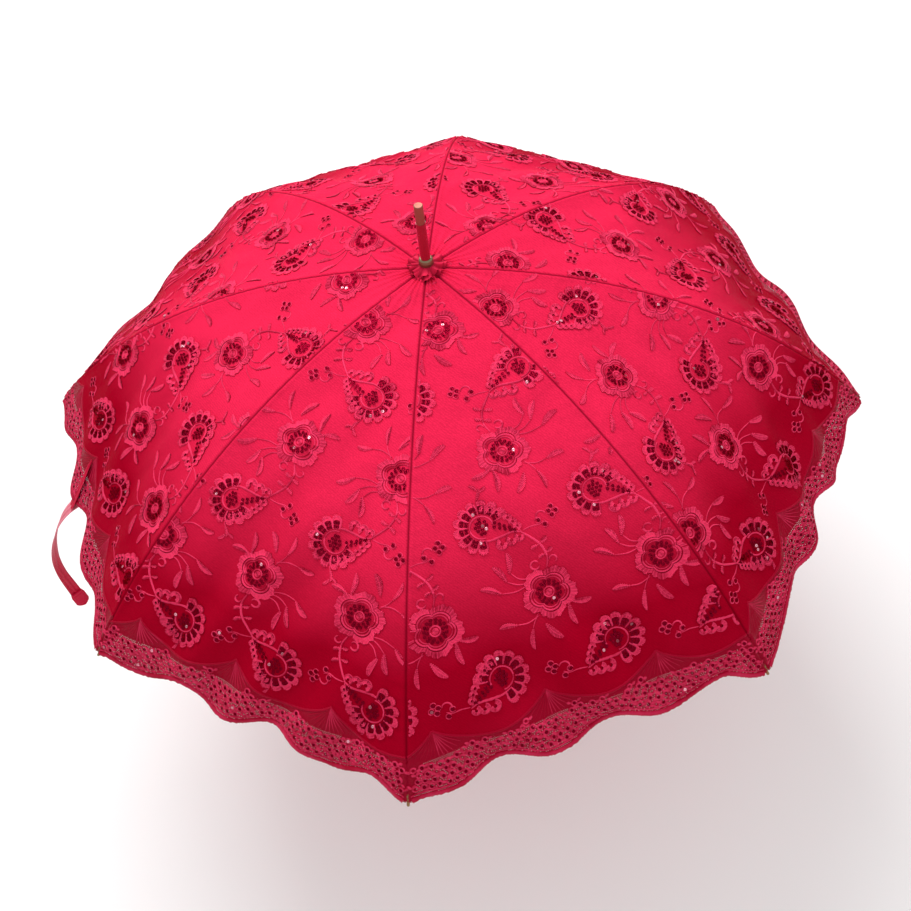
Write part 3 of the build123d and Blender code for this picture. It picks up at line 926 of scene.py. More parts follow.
def place_sequin(works, panel, across, along, chance):
    """One tilted sequin sewn on the cloth."""
    radius = settings("stitch").sequin_radius
    corners = 9
    centre = on_cloth(panel, [across], [along], SEQUIN_LIFT)[0]
    ahead = on_cloth(panel, [across], [along + MM], SEQUIN_LIFT)[0]
    beside = on_cloth(panel, [across + MM], [along], SEQUIN_LIFT)[0]
    y = Vector(ahead - centre).normalized()
    x = Vector(beside - centre).normalized()
    z = x.cross(y).normalized()
    if z.z < 0:
        z = -z
    tilt = Vector((chance.uniform(-1, 1), chance.uniform(-1, 1), 0)) * 0.24
    z = (z + x * tilt.x + y * tilt.y).normalized()
    x = y.cross(z).normalized()
    y = z.cross(x)
    turn = 2 * math.pi * np.arange(corners) / corners
    points = []
    for reach, rise in sequin_shape(radius):
        ring = np.outer(np.cos(turn) * reach, x) + np.outer(np.sin(turn) * reach, y)
        points.append(centre + (ring + np.array(z) * rise))
    faces = grid_faces(len(points), corners, closed_rows=True, closed_columns=True)
    # The random shade number picks the few sequins that get painted glints.
    works[gore_of(panel, across)].add(np.concatenate(points), faces, chance.random())


# ------------------------------------------------------------------ finishes
def cloth_finish():
    cloth = settings("cloth")
    finish = Finish("canopy_twill")
    where = finish.place()
    # Painted highlight: the cloth colour turns towards the highlight colour with height, lightest
    # near the crown where it faces the light, with random patches.
    near_crown = finish.climb(finish.height(where), TIP_Z + 70 * MM, CROWN_Z - 45 * MM)
    cloudy = finish.noise(where, 9.0, 4.0)
    share = near_crown * 0.9 + (cloudy - 0.5) * 0.34
    base = finish.between(share, three(cloth.colour), three(cloth.bloom))
    # Painted shade: the cloth is darkened along the seam groove over each rib.
    base = finish.between(finish.painted("seam") * 0.8, base, darker(cloth.colour, 0.35))
    slub = finish.noise(where, 620.0, 3.0, 0.7)
    base = finish.between(slub * 0.5 - 0.1, base, darker(cloth.colour, 0.45))
    weave = finish.stripes(where, "DIAGONAL", 190.0, 6.0, 3.0, 2.0)
    cross_weave = finish.stripes(where, "X", 330.0, 5.0)
    base = finish.between(weave * 0.2, base, darker(cloth.colour, 0.5))
    crumple = finish.noise(where, 30.0, 3.0)
    thread = finish.bump(weave * 0.65 + cross_weave * 0.35, 0.5, 0.0004)
    soft_folds = finish.noise(finish.stretched(where, (1, 1, 0.45)), 11.0, 2.0)
    normal = finish.bump(soft_folds, 0.6, 0.03, finish.bump(crumple, 0.4, 0.005, thread))
    finish.surface(Base_Color=base, Roughness=0.62 + (slub - 0.5) * 0.14, Normal=normal)
    finish.surface(Sheen_Weight=0.02, Sheen_Roughness=0.4, Sheen_Tint=(1.0, 0.06, 0.2))
    finish.surface(Specular_IOR_Level=0.01, Specular_Tint=(1.0, 0.1, 0.3))
    return finish


def thread_finish(name, shine, shade, fine):
    """Rayon thread, lighter where the stitches catch the light."""
    finish = Finish(name)
    where = finish.place()
    drift = finish.noise(where, 55.0, 2.0)
    share = finish.painted("shade") * 0.75 + (drift - 0.5) * 1.1 + 0.18
    level = finish.add("ShaderNodeClamp", {}, {"Value": share})
    # Painted shade: the thread's lit colour is darker towards the rim and lighter towards the
    # crown.
    near_crown = finish.climb(finish.height(where), TIP_Z - 20 * MM, TIP_Z + 120 * MM)
    lit = finish.between(near_crown, darker(shine, 0.62), shine)
    base = finish.between(level, shade, lit)
    strands = finish.stripes(where, "DIAGONAL", fine, 2.0)
    finish.surface(
        Base_Color=base, Roughness=0.34 + strands * 0.18, Normal=finish.bump(strands, 0.4, 0.0003)
    )
    finish.surface(Sheen_Weight=0.06, Sheen_Roughness=0.3, Sheen_Tint=(1.0, 0.1, 0.3))
    finish.surface(Specular_IOR_Level=0.12, Specular_Tint=(1.0, 0.3, 0.5))
    return finish


def sequin_finish():
    stitch = settings("stitch")
    finish = Finish("sequin_foil")
    # Painted glints: a few sequins, picked at random by their shade number, get a light pink
    # colour.
    painted_glint = finish.climb(finish.painted("shade"), 0.965, 0.98)
    base = finish.between(painted_glint, three(stitch.sequin), (0.95, 0.42, 0.52))
    scratch = finish.noise(finish.place(), 1400.0, 2.0)
    finish.surface(Base_Color=base, Roughness=0.2 + scratch * 0.16, Metallic=1.0)
    finish.surface(Normal=finish.bump(scratch, 0.12, 0.0002), Specular_Tint=(0.7, 0.03, 0.12))
    return finish


def lacquer_finish(name, colour):
    finish = Finish(name)
    where = finish.place()
    cloudy = finish.noise(where, 60.0, 4.0)
    base = finish.between(cloudy, darker(colour, 0.72), three(colour))
    stops = [(0.62, (0, 0, 0, 1)), (0.74, (1, 1, 1, 1))]
    specks = finish.noise(where, 210.0, 6.0, 0.7)
    worn = finish.add("ShaderNodeValToRGB", {"stops": stops}, {"Fac": specks})
    base = finish.between(worn * 0.35, base, darker(colour, 0.35))
    peel = finish.noise(where, 480.0, 2.0)
    finish.surface(
        Base_Color=base, Roughness=0.2 + cloudy * 0.14, Normal=finish.bump(peel, 0.1, 0.0002)
    )
    finish.surface(Coat_Weight=0.7, Coat_Roughness=0.1)
    return finish


def metal_finish(name, colour, roughness, tarnish=0.5):
    finish = Finish(name)
    where = finish.place()
    patches = finish.noise(where, 130.0, 5.0, 0.6)
    brushed = finish.noise(finish.stretched(where, (1, 1, 24)), 320.0, 3.0)
    base = finish.between(patches * tarnish, three(colour), darker(colour, 0.3))
    finish.surface(Base_Color=base, Metallic=1.0, Roughness=roughness + patches * 0.22)
    finish.surface(Normal=finish.bump(brushed, 0.16, 0.0002))
    return finish


def ribbon_finish(name, satin, backing, gloss=0.25):
    """Ribbon painted in its satin highlight colour where the shade is 1 and its backing where it is
    0.
    """
    finish = Finish(name)
    where = finish.place()
    side = finish.painted("shade")
    cloudy = finish.noise(where, 45.0, 3.0)
    base = finish.between(side, backing, satin)
    base = finish.between(cloudy * 0.5, base, darker(backing, 0.6))
    weave = finish.stripes(where, "Z", 260.0, 1.0)
    finish.surface(Base_Color=base, Roughness=0.42 - side * 0.16 + cloudy * 0.1)
    finish.surface(Normal=finish.bump(weave, 0.3, 0.0003), Specular_IOR_Level=gloss)
    return finish


# ------------------------------------------------------------------ pieces
def gather(piece):
    """Gives a piece its own copy of its mesh."""
    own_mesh(piece)


def fold_with_rib(piece, number):
    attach(piece, f"rib_arm_{number}")
    gather(piece)


class PARASOL_OT_stage(bpy.types.Operator):
    """Builds the floor, the lights and the camera"""

    bl_idname = "parasol.stage"
    bl_label = "Stage"

    def execute(self, context):
        stage = settings("stage")
        self.camera(context, stage)
        self.floor(stage)
        self.light("key_light", (-0.65, 1.2, 2.4), 1.4, stage.key)
        self.light("fill_light", (0.9, -1.9, 1.6), 1.8, stage.fill)
        world = bpy.data.worlds.new("studio")
        context.scene.world = world
        context.scene.view_settings.view_transform = "Standard"
        world.use_nodes = True
        background = world.node_tree.nodes["Background"].inputs
        background["Color"].default_value = (1.0, 1.0, 1.0, 1.0)
        background["Strength"].default_value = 0.80
        return {"FINISHED"}

    def camera(self, context, stage):
        a, e, roll = stage.azimuth, stage.elevation, stage.roll
        back = Vector((math.sin(a) * math.cos(e), -math.cos(a) * math.cos(e), math.sin(e)))
        side = Vector((0, 0, 1)).cross(back).normalized()
        up = back.cross(side)
        right = side * math.cos(roll) + up * math.sin(roll)
        upright = up * math.cos(roll) - side * math.sin(roll)
        data = bpy.data.cameras.new("camera")
        data.sensor_width = 36.0
        data.lens = stage.lens
        data.clip_end = 50.0
        camera = bpy.data.objects.new("camera", data)
        turn = Matrix((right, upright, back)).transposed().to_4x4()
        camera.matrix_world = (
            Matrix.Translation(Vector(stage.target) + back * stage.distance) @ turn
        )
        context.scene.collection.objects.link(camera)
        context.scene.camera = camera

    def floor(self, stage):
        finish = Finish("floor_paint")
        grain = finish.noise(finish.place(), 3.0, 3.0)
        finish.surface(
            Base_Color=finish.between(grain * 0.05, three(stage.floor), darker(stage.floor, 0.9))
        )
        finish.surface(Roughness=0.9)
        level = cad_bounds[0][2] - MM
        size = 12.0
        corners = [
            (-size, -size, level), (size, -size, level), (size, size, level), (-size, size, level)
        ]
        new_mesh_object("floor", corners, [(0, 1, 2, 3)], finish)

    def light(self, name, place, size, power):
        data = bpy.data.lights.new(name, "AREA")
        data.size = size
        data.energy = power
        light = bpy.data.objects.new(name, data)
        target = Vector((0, 0, CROWN_Z - 0.1))
        at = Vector(place)
        light.location = at
        light.rotation_euler = (at - target).to_track_quat("Z", "Y").to_euler()
        bpy.context.scene.collection.objects.link(light)


class PARASOL_OT_canopy(bpy.types.Operator):
    """Cuts the canopy's gores, which meet halfway between the ribs as one curved sheet"""

    bl_idname = "parasol.canopy"
    bl_label = "Canopy cloth"

    def execute(self, context):
        cloth = settings("cloth")
        finish = cloth_finish()
        gathered_end = 60 * MM
        near = np.linspace(-3.4 * MM, gathered_end, 40)
        steps = np.concatenate([near, np.linspace(gathered_end, cloth.hem, 130)[1:]])
        shares = 0.5 - 0.5 * np.cos(np.linspace(0, math.pi, 46))
        for number in GORES:
            outside = self.face(number, steps, shares, 0.0)
            inside = self.face(number, steps, shares, -cloth.thickness)
            columns = 2 * len(shares)
            points = np.concatenate([outside.reshape(-1, 3), inside.reshape(-1, 3)])
            faces = shell_faces(len(steps), columns)
            edge = 2 * (len(steps) + columns) - 4
            piece = new_mesh_object(
                f"canopy_cloth_{number}", points.tolist(), faces.tolist(), finish, edge
            )
            # Painted shade along the seam groove over each rib, which the cloth finish reads as
            # "seam".
            to_seam = half_width(steps)[:, None] * (
                1 - np.concatenate([shares, shares[::-1]])[None, :]
            )
            seam_shade = np.exp(-((to_seam / (1.05 * MM)) ** 2)).ravel()
            paint_points(piece, "seam", np.concatenate([seam_shade, seam_shade]))
            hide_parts(f"canopy_{number}")
            fold_with_rib(piece, number)
            flat = (float(2 * half_width(cloth.hem)), float(steps[-1] - steps[0]))
            area = float(np.trapz(2 * half_width(steps), steps))
        return {"FINISHED"}

    def face(self, number, steps, shares, lift):
        """Grid of points from halfway to the last rib, over this rib, to halfway to the next."""
        half = half_width(steps)[:, None]
        along = np.repeat(steps[:, None], len(shares), axis=1)
        before = on_cloth((number - 2) % RIBS, half * shares[None, :], along, lift)
        after = on_cloth((number - 1) % RIBS, -half * shares[None, ::-1], along, lift)
        return np.concatenate([before, after], axis=1)


class PARASOL_OT_embroidery(bpy.types.Operator):
    """Embroiders flowers, paisleys, vines and sprigs and sews on the sequins"""

    bl_idname = "parasol.embroidery"
    bl_label = "Embroidery and sequins"

    def execute(self, context):
        stitch = settings("stitch")
        thread = thread_finish(
            "embroidery_thread", three(stitch.thread), three(stitch.thread_shade), 700.0
        )
        foil = sequin_finish()
        lines, sequins = patchworks(), patchworks()
        whole, hem_only = full_motif(), full_motif(with_flower=False)
        chance = random.Random(11)
        for panel in range(RIBS):
            for along, across, turn, flip, with_flower in placed_motifs(panel):
                work = whole if with_flower else hem_only
                self.sew(lines, sequins, panel, work, (across, along), (turn, flip), chance)
        for number in GORES:
            for works, name, finish in ((lines, "embroidery", thread), (sequins, "sequins", foil)):
                piece = works[number].build(f"{name}_{number}", finish)
                fold_with_rib(piece, number)
        return {"FINISHED"}

    def sew(self, lines, sequins, panel, work, place, turn, chance):
        """Lays one motif on a panel and cuts it off at the seams and at the scalloped line."""
        place = np.array(place)
        turn = np.array(turn)
        lean = chance.uniform(-0.05, 0.05)
        spin = np.array(((math.cos(lean), math.sin(lean)), (-math.sin(lean), math.cos(lean))))
        for points, widths, height, painted_sheen in work.lines:
            path = ((points * turn) @ spin + place) * MM
            lowest = scallop_line(panel, path[:, 0]) - 3 * MM
            inside = inside_panel(path[:, 0], path[:, 1], 2 * MM, lowest)
            for start, end in kept_runs(inside):
                stitch_line(
                    lines, panel, path[start:end], widths[start:end] * MM, height * MM, sheen=painted_sheen
                )
        for point in work.sequins:
            across, along = ((np.array(point) * turn) @ spin + place) * MM
            across += chance.gauss(0, 0.25) * MM
            lowest = scallop_line(panel, across) - 4 * MM
            if inside_panel(across, along, 3 * MM, lowest):
                place_sequin(sequins, panel, float(across), float(along), chance)


class PARASOL_OT_lace(bpy.types.Operator):
    """Knits the lace border and sews its fans, eyelets, scalloped line and corded edge"""

    bl_idname = "parasol.lace"
    bl_label = "Lace border"

    def execute(self, context):
        lace, stitch = settings("lace"), settings("stitch")
        # Painted light and shade: the net's lit and shaded colours are a lighter and a darker copy
        # of the net colour.
        net_finish = thread_finish(
            "lace_net", darker(lace.colour, 1.15), darker(lace.colour, 0.7), 900.0
        )
        thread = thread_finish(
            "lace_thread", three(stitch.thread), three(stitch.thread_shade), 700.0
        )
        nets, works, rings = patchworks(), patchworks(), patchworks()
        chance = random.Random(5)
        self.cells = {number: 0 for number in GORES}
        for number in GORES:
            self.corner(nets[number], number)
        for panel in range(RIBS):
            self.net(nets, panel)
            self.borders(works, panel)
            self.fans(works, panel)
            self.eyelets(works, rings, panel, chance)
        foil = sequin_finish()
        for number in GORES:
            net = nets[number].build(f"lace_net_{number}", net_finish)
            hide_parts(f"lace_border_{number}")
            trims = works[number].build(f"lace_stitching_{number}", thread)
            sequins = rings[number].build(f"lace_sequins_{number}", foil)
            for piece in (net, trims, sequins):
                fold_with_rib(piece, number)
            width, length = 2 * half_width(RIB_LENGTH), lace.edge_line - lace.cusp_line
            ring = ROOT_3 / 2 * (lace.cell**2 - (lace.cell - lace.thread) ** 2)
            threads = self.cells[number] * ring
            cut = float(np.clip(threads + self.corner_area, 0.3 * width * length, width * length))
        return {"FINISHED"}

    def corner(self, work, number):
        """Close-woven gusset under each rib tip, from the lining's hem to the tip."""
        hem = settings("cloth").hem
        rows, columns, lift = 24, 14, -0.05 * MM
        along = np.linspace(hem - 3 * MM, RIB_LENGTH - 4 * MM, rows)
        width = np.linspace(15 * MM, 4.5 * MM, rows)
        inward = np.linspace(0, 1, columns)
        half = half_width(along)[:, None]
        down = np.repeat(along[:, None], columns, axis=1)
        before = on_cloth((number - 2) % RIBS, half - width[:, None] * (1 - inward), down, lift)
        after = on_cloth((number - 1) % RIBS, -(half - width[:, None] * inward), down, lift)
        points = np.concatenate([before, after], axis=1)
        work.add(points.reshape(-1, 3), grid_faces(rows, 2 * columns), 0.5)
        self.corner_area = float(np.trapz(2 * width, along))

    def net(self, nets, panel):
        """Six-sided net: each cell is a ring of six flat threads round a hole."""
        lace = settings("lace")
        pitch = lace.cell
        row_step = pitch * ROOT_3 / 2
        half = half_width(RIB_LENGTH)
        rows = np.arange(lace.cusp_line, lace.edge_line + row_step, row_step)
        for row_number, along in enumerate(rows):
            centres = np.arange(-half, half, pitch) + (pitch / 2 if row_number % 2 else 0)
            upper = scallop_line(panel, centres)
            lower = outer_edge(panel, centres) - 0.6 * MM
            keep = (along > upper) & (along < lower) & (
                np.abs(centres) < half_width(along) - pitch * 0.3
            )
            centres = centres[keep]
            if not len(centres):
                continue
            corners = math.pi / 6 + math.pi / 3 * np.arange(6)
            outer = pitch / ROOT_3
            inner = outer - lace.thread / ROOT_3
            for side in (-1, 1):
                group = centres[centres < 0] if side < 0 else centres[centres >= 0]
                if not len(group):
                    continue
                rings = []
                for reach in (outer, inner):
                    across = group[:, None] + reach * np.cos(corners)[None, :]
                    down = np.broadcast_to(along + reach * np.sin(corners), across.shape)
                    rings.append(on_cloth(panel, across, down, 0.12 * MM))
                points = np.concatenate(rings, axis=1).reshape(-1, 3)
                ring_faces = np.array([(a, (a + 1) % 6, (a + 1) % 6 + 6, a + 6) for a in range(6)])
                faces = (ring_faces[None] + 12 * np.arange(len(group))[:, None, None]).reshape(
                    -1, 4
                )
                nets[gore_of(panel, side)].add(points, faces, 0.5)
                self.cells[gore_of(panel, side)] += len(group)

    def runs(self, panel, line_of, inset=0.0):
        """The two halves of a line along the hem, from rib to middle and from middle to rib."""
        reach = half_width(RIB_LENGTH - 20 * MM)
        for start, end in ((-reach, 0.0), (0.0, reach)):
            across = np.arange(start, end, STITCH_STEP * MM)
            path = np.stack([across, line_of(panel, across) - inset], axis=-1)
            inside = np.abs(path[:, 0]) < half_width(path[:, 1]) - 0.5 * MM
            for a, b in kept_runs(inside):
                yield path[a:b]

    def borders(self, works, panel):
        for path in self.runs(panel, scallop_line):
            stitch_line(works, panel, path, np.full(len(path), 2.4 * MM), 1.1 * MM, sheen=-1.1)
        for inset, width, painted_sheen in ((0.5, 4.4, -0.45), (4.4, 1.6, -0.15)):
            for path in self.runs(panel, outer_edge, inset * MM):
                path[:, 1] += 0.12 * MM * np.sin(2 * math.pi * path[:, 0] / (7 * MM))
                stitch_line(
                    works, panel, path, np.full(len(path), width * MM), 1.1 * MM, 0.1 * MM, painted_sheen
                )

    def fans(self, works, panel):
        """Fine veins that spread from each cusp of the scalloped line."""
        repeat, shift = settings("stitch").repeat, cusp_shift(panel)
        for number in range(-2, 3):
            centre = shift + number * repeat
            top = float(scallop_line(panel, centre))
            for vein in range(-6, 7):
                lean = vein * 3.9 * MM
                down = (25.0 - 0.3 * vein**2) * MM
                path = curve_through(
                    [(0, 1.5), (lean / MM * 0.45, down / MM * 0.55), (lean / MM, down / MM)]
                )
                path = path * MM + np.array((centre, top))
                inside = inside_panel(path[:, 0], path[:, 1], 1.5 * MM, 1.0)
                inside &= path[:, 1] > scallop_line(panel, path[:, 0]) + 0.8 * MM
                for a, b in kept_runs(inside):
                    stitch_line(
                        works,
                        panel,
                        path[a:b],
                        swelling(path[a:b] / MM, 0.9, 0.4) * MM,
                        0.5 * MM,
                        sheen=-0.8,
                    )

    def eyelets(self, works, rings, panel, chance):
        """Ringed eyelets with a sequin in each, and small leaves between them."""
        reach = half_width(RIB_LENGTH - 10 * MM)
        spacing = 7.2 * MM
        for row in range(9):
            for centre in np.arange(-reach, reach, spacing) + (spacing / 2 if row % 2 else 0):
                across = centre + chance.uniform(-0.8, 0.8) * MM
                along = (
                    outer_edge(panel, across) - (8.4 + 5.7 * row + chance.uniform(-0.7, 0.7)) * MM
                )
                above = scallop_line(panel, across) + 4.2 * MM
                near_cusp = abs(scallop_phase(panel, across) - 0.5) > 0.3
                in_fan = near_cusp and along < settings("cloth").hem + MM
                clear = abs(across) < half_width(along) - 3.5 * MM
                if along < above or in_fan or not clear:
                    continue
                turn = np.linspace(0, 2 * math.pi, 16)
                radius = chance.uniform(1.9, 2.4) * MM
                path = np.stack(
                    [across + radius * np.cos(turn), along + radius * np.sin(turn)], axis=-1
                )
                stitch_line(works, panel, path, np.full(len(path), 1.7 * MM), 1.0 * MM)
                if chance.random() < 0.85:
                    place_sequin(rings, panel, float(across), float(along), chance)
                for side in (-1, 1):
                    tip = np.array((side * 4.2, chance.uniform(-3.4, 3.4)))
                    leaf = curve_through([tip * 0.55, tip * 0.95 + (0, 0.5), tip * 1.45])
                    leaf = leaf * MM + np.array((across, along))
                    stitch_line(works, panel, leaf, swelling(leaf / MM, 2.7, 0.7) * MM, 1.0 * MM)


class PARASOL_OT_rosette(bpy.types.Operator):
    """Gathers the ruffled rosette under the ferrule's collar"""

    bl_idname = "parasol.rosette"
    bl_label = "Rosette"

    def execute(self, context):
        low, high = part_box("rosette")
        trim = settings("trim")
        # The rosette's lit colour is the cloth's painted highlight and its shaded colour a darker
        # cloth colour.
        finish = thread_finish(
            "rosette_cloth",
            three(settings("cloth").bloom),
            darker(settings("cloth").colour, 0.55),
            800.0,
        )
        work = Patchwork()
        around, rings = 220, 18
        turn = np.linspace(0, 2 * math.pi, around, endpoint=False)
        inner = 4.9 * MM
        for layer, (reach, level, phase) in enumerate(
            ((high[0] * 0.99, 1.6 * MM, 0.0), (high[0] * 0.84, 3.2 * MM, 1.3))
        ):
            faces_up = []
            for thick in (0.0, 0.35 * MM):
                share = np.linspace(0, 1, rings)[:, None]
                wobble = 1 + 0.09 * np.sin(3 * turn + layer) + 0.05 * np.sin(7 * turn)
                wobble = wobble + 0.02 * np.sin(37 * turn)
                radius = inner + (reach - inner) * share * wobble[None, :]
                folds = np.sin(trim.ruffles * turn + phase + 0.7 * np.sin(2 * turn))
                small = np.sin((2 * trim.ruffles + 3) * turn + 2 * phase)
                lift = share**1.3 * (2.4 * MM * folds + 0.7 * MM * small)[None, :]
                dome = (1 - share) ** 1.5 * 2.6 * MM
                z = low[2] + level + lift + dome + thick
                z = np.maximum(z, low[2] + 0.2 * MM + thick)
                faces_up.append(
                    np.stack([radius * np.cos(turn), radius * np.sin(turn), z], axis=-1)
                )
            points = np.concatenate([faces_up[1].reshape(-1, 3), faces_up[0].reshape(-1, 3)])
            top = grid_faces(rings, around, closed_columns=True)
            shift = rings * around
            edges = []
            for ring in (0, rings - 1):
                first = ring * around + np.arange(around)
                after = np.roll(first, -1)
                edges.append(np.stack([first, after, after + shift, first + shift], axis=-1))
            faces = np.concatenate([top, top[:, ::-1] + shift, *edges])
            # Painted light and shade: the rosette is lighter on its fold crests and darker in the
            # troughs and towards its middle.
            painted_sheen = 0.35 + 0.55 * share * folds[None, :] - 0.25 * (1 - share)
            work.add(points, faces, np.tile(painted_sheen.ravel(), 2))
        piece = work.build("rosette_ruffle", finish)
        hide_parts("rosette")
        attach(piece, "root")
        return {"FINISHED"}


class PARASOL_OT_strap(bpy.types.Operator):
    """Sews on the tie strap: a satin ribbon over the lace that ends in a rounded cloth tab"""

    bl_idname = "parasol.strap"
    bl_label = "Tie strap"

    def execute(self, context):
        trim = settings("trim")
        satin = ribbon_finish("strap_satin", three(trim.ribbon), three(trim.tab))
        backing = ribbon_finish("strap_backing", three(trim.tab), three(trim.tab), 0.08)
        anchor_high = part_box("strap_anchor")[1]
        tie_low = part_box("tie_strap")[0]
        tab_low, tab_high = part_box("strap_tab")
        edge = joints["strap_swing"]["pos_m"]
        edge_r = math.hypot(edge[0], edge[1])
        edge_z = edge[2]
        sewn_r = edge_r - (anchor_high[2] - edge_z) * 0.93
        sewn = [
            (sewn_r, anchor_high[2] + 1.0 * MM, -16 * MM, 0.2),
            (sewn_r + 0.25 * (edge_r - sewn_r), anchor_high[2] - 7 * MM, -12 * MM, 0.55),
            ((sewn_r + edge_r) / 2, (anchor_high[2] + edge_z) / 2 + 2.5 * MM, -5 * MM, 0.65),
            (edge_r, edge_z + 1.6 * MM, 1 * MM, 0.8),
            (edge_r + 4 * MM, edge_z - 2.5 * MM, 2 * MM, 0.9),
        ]
        out_r = math.hypot((tab_low[0] + tab_high[0]) / 2, (tab_low[1] + tab_high[1]) / 2)
        reach, drop = out_r - edge_r, edge_z - tie_low[2]
        loose = [
            (edge_r - 5 * MM, edge_z + 0.3 * MM, 1 * MM, 1.0),
            (edge_r + 0.20 * reach, edge_z - 0.05 * drop, 1 * MM, 1.0),
            (edge_r + 0.52 * reach, edge_z - 0.19 * drop, 3 * MM, 0.95),
            (edge_r + 0.83 * reach, edge_z - 0.42 * drop, 2 * MM, 0.85),
            (edge_r + 1.00 * reach, edge_z - 0.68 * drop, -2 * MM, 0.75),
            (edge_r + 1.02 * reach, edge_z - 0.88 * drop, -3 * MM, 0.85),
            (out_r, tie_low[2], 0.0, 0.9),
        ]
        under = self.band("strap_sewn", sewn, 0.0, backing)
        over = self.band("strap_ribbon", loose, TAB_TURN, satin)
        tab = self.tab(out_r, tie_low[2] + 3 * MM, tab_low[2], backing)
        for piece, slot, nodes, body in (
            (under, "strap_ribbon", ["strap_anchor"], f"rib_arm_{STRAP_RIB}"),
            (over, "strap_ribbon", ["tie_strap"], "strap_end"),
            (tab, "strap_tab_cloth", ["strap_tab"], "strap_end"),
        ):
            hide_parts(*nodes)
            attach(piece, body)
            gather(piece)
        sewn_length = math.hypot(edge_r + 4 * MM - sewn_r, anchor_high[2] - edge_z + 2.5 * MM)
        loose_length = math.pi / 2 * (reach + drop) * 0.56 + 0.2 * drop
        return {"FINISHED"}

    def band(self, name, route, twist_most, finish):
        """Ribbon along a route of radius, height, shift to the side and share of full width."""
        dense = []
        for column in range(4):
            knots = np.array([point[column] for point in route])
            dense.append(np.interp(np.linspace(0, 1, 90), np.linspace(0, 1, len(knots)), knots))
        dense = np.array(dense)
        for column in range(4):
            padded = np.pad(dense[column], 9, mode="reflect", reflect_type="odd")
            dense[column] = np.convolve(padded, np.ones(19) / 19, mode="valid")
        out, side = level_arrows(STRAP_AZIMUTH)
        line = dense[0][:, None] * out + dense[1][:, None] * UP + dense[2][:, None] * side
        ahead = np.gradient(line, axis=0)
        ahead /= np.linalg.norm(ahead, axis=1)[:, None]
        normal = np.cross(ahead, side)
        normal /= np.linalg.norm(normal, axis=1)[:, None]
        share = np.linspace(0, 1, len(line))
        twist = twist_most * share**2 * (3 - 2 * share)
        lie = side * np.cos(twist)[:, None] + normal * np.sin(twist)[:, None]
        face = np.cross(ahead, lie)
        columns = np.linspace(-1, 1, 21)
        crease = np.sin(2.5 * math.pi * columns[None, :] + 5 * share[:, None]) * (1 - columns**2)[
            None, :
        ]
        cup = 0.5 * (1 - columns**2) + 0.25 * (np.abs(columns) > 0.88) + 0.45 * crease
        sheets = []
        for thick in (0.2 * MM, -0.2 * MM):
            half = STRAP_WIDTH / 2 * dense[3][:, None, None]
            lifted = cup[:, :, None] * MM + thick
            wide = lie[:, None] * columns[None, :, None] * half
            sheets.append(line[:, None] + wide + face[:, None] * lifted)
        faces = shell_faces(len(line), len(columns))
        points = np.concatenate([sheet.reshape(-1, 3) for sheet in sheets])
        piece = new_mesh_object(name, points.tolist(), faces.tolist(), finish)
        # Painted highlight along the ribbon's upper part, where it turns up to the light, fading
        # out further down.
        highlight_share = np.clip(1.35 - 2.1 * share, 0, 1)
        paint_points(piece, "shade", np.tile(np.repeat(highlight_share, len(columns)), 2))
        return piece

    def tab(self, r, top, bottom, finish):
        """Rounded tab of folded cloth, thick in its middle, with a stitched line near its edge."""
        rows, columns = 40, 25
        middle = r * level_arrows(STRAP_AZIMUTH)[0]
        out, side = level_arrows(STRAP_AZIMUTH - TAB_TURN)
        down = np.linspace(0, 1, rows)[:, None]
        share = np.linspace(-1, 1, columns)[None, :]
        round_end = np.sqrt(np.maximum(1 - np.maximum((down - 0.70) / 0.30, 0) ** 2, 0.01))
        half = 7.9 * MM * round_end * (0.84 + 0.16 * np.minimum(down * 4, 1))
        rim = np.maximum(np.abs(share), (down - 0.5) * 2)
        seam = np.exp(-(((rim - 0.78) / 0.06) ** 2)) + np.exp(-(((down - 0.16) / 0.025) ** 2))
        thick = (1.05 * (1 - np.abs(share) ** 5) - 0.4 * np.minimum(seam, 1) + 0.25) * MM
        bow = 1.5 * MM * np.sin(2.2 * down)
        sheets = []
        for way in (1, -1):
            stand = middle + (bow + way * thick)[..., None] * out
            spread = (half * share)[..., None] * side
            height = (top - down * (top - bottom - 0.4 * MM) + 0 * share)[..., None] * UP
            sheets.append((stand + spread + height).reshape(-1, 3))
        points, faces = np.concatenate(sheets), shell_faces(rows, columns)
        return new_mesh_object("strap_tab_cloth", points.tolist(), faces.tolist(), finish)


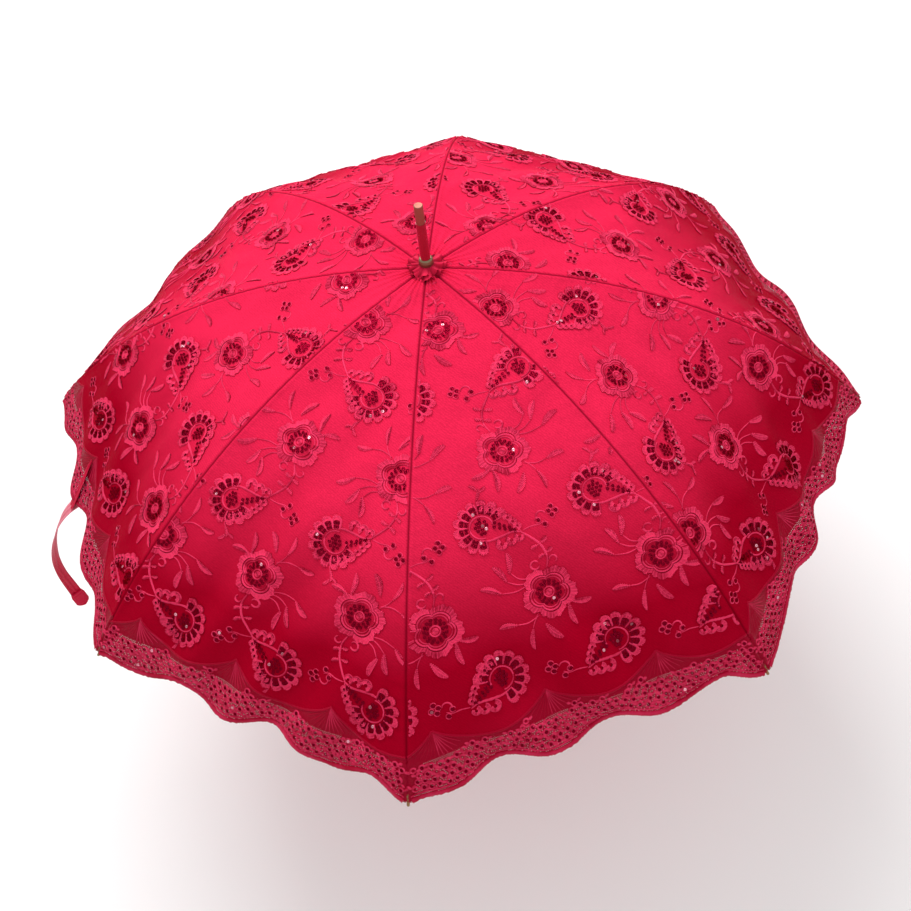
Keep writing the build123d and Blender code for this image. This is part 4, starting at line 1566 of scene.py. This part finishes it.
class PARASOL_OT_fittings(bpy.types.Operator):
    """Finishes the ferrule, shaft, handle, runner, ribs and stretchers"""

    bl_idname = "parasol.fittings"
    bl_label = "Frame finishes"

    def execute(self, context):
        trim = settings("trim")
        lacquer = lacquer_finish("red_lacquer", trim.lacquer)
        handle = lacquer_finish("handle_lacquer", darker(trim.lacquer, 0.8))
        brass = metal_finish("aged_brass", trim.brass, 0.34, 0.8)
        bronze = metal_finish("green_bronze", (0.34, 0.24, 0.15), 0.3, 0.7)
        tube = metal_finish("bare_tube", (0.42, 0.16, 0.12), 0.36, 0.5)
        steel = metal_finish("nickel_steel", (0.62, 0.62, 0.64), 0.24, 0.35)
        nickel = metal_finish("runner_plate", (0.70, 0.68, 0.66), 0.18, 0.3)
        wear = {
            "crook_handle": handle,
            "shaft": lacquer,
            "ferrule_stick": lacquer,
            "ferrule_tip": tube,
            "ferrule_collar": bronze,
            "handle_collar": brass,
            "handle_end_cap": brass,
            "runner_tube": nickel,
            "runner_notch": nickel,
            "top_notch": nickel,
        }
        for name, node in frame["nodes"].items():
            finish = brass if name.startswith("rib_tip") else wear.get(name, steel)
            node.data.materials.clear()
            node.data.materials.append(finish.material)
        return {"FINISHED"}


class PARASOL_PT_panel(bpy.types.Panel):
    bl_label = "Lace Parasol"
    bl_idname = "PARASOL_PT_panel"
    bl_space_type = "VIEW_3D"
    bl_region_type = "UI"
    bl_category = "Parasol"

    def draw(self, context):
        for group in GROUPS:
            box = self.layout.box()
            values = settings(group)
            for name in values.bl_rna.properties.keys():
                if name not in ("name", "rna_type"):
                    box.prop(values, name)
        for operator in OPERATORS:
            self.layout.operator(operator.bl_idname)


GROUPS = {
    "cloth": ClothSettings,
    "stitch": StitchSettings,
    "lace": LaceSettings,
    "trim": TrimSettings,
    "stage": StageSettings,
}
OPERATORS = (
    PARASOL_OT_stage,
    PARASOL_OT_canopy,
    PARASOL_OT_embroidery,
    PARASOL_OT_lace,
    PARASOL_OT_rosette,
    PARASOL_OT_strap,
    PARASOL_OT_fittings,
)


def register():
    for group in GROUPS.values():
        bpy.utils.register_class(group)
    for name, group in GROUPS.items():
        setattr(bpy.types.Scene, "parasol_" + name, PointerProperty(type=group))
    for operator in OPERATORS:
        bpy.utils.register_class(operator)
    bpy.utils.register_class(PARASOL_PT_panel)


def unregister():
    bpy.utils.unregister_class(PARASOL_PT_panel)
    for operator in OPERATORS:
        bpy.utils.unregister_class(operator)
    for name, group in GROUPS.items():
        delattr(bpy.types.Scene, "parasol_" + name)
        bpy.utils.unregister_class(group)


def main():
    register()
    bpy.ops.parasol.stage()
    bpy.ops.parasol.canopy()
    bpy.ops.parasol.embroidery()
    bpy.ops.parasol.lace()
    bpy.ops.parasol.rosette()
    bpy.ops.parasol.strap()
    bpy.ops.parasol.fittings()


if __name__ == "__main__":
    main()
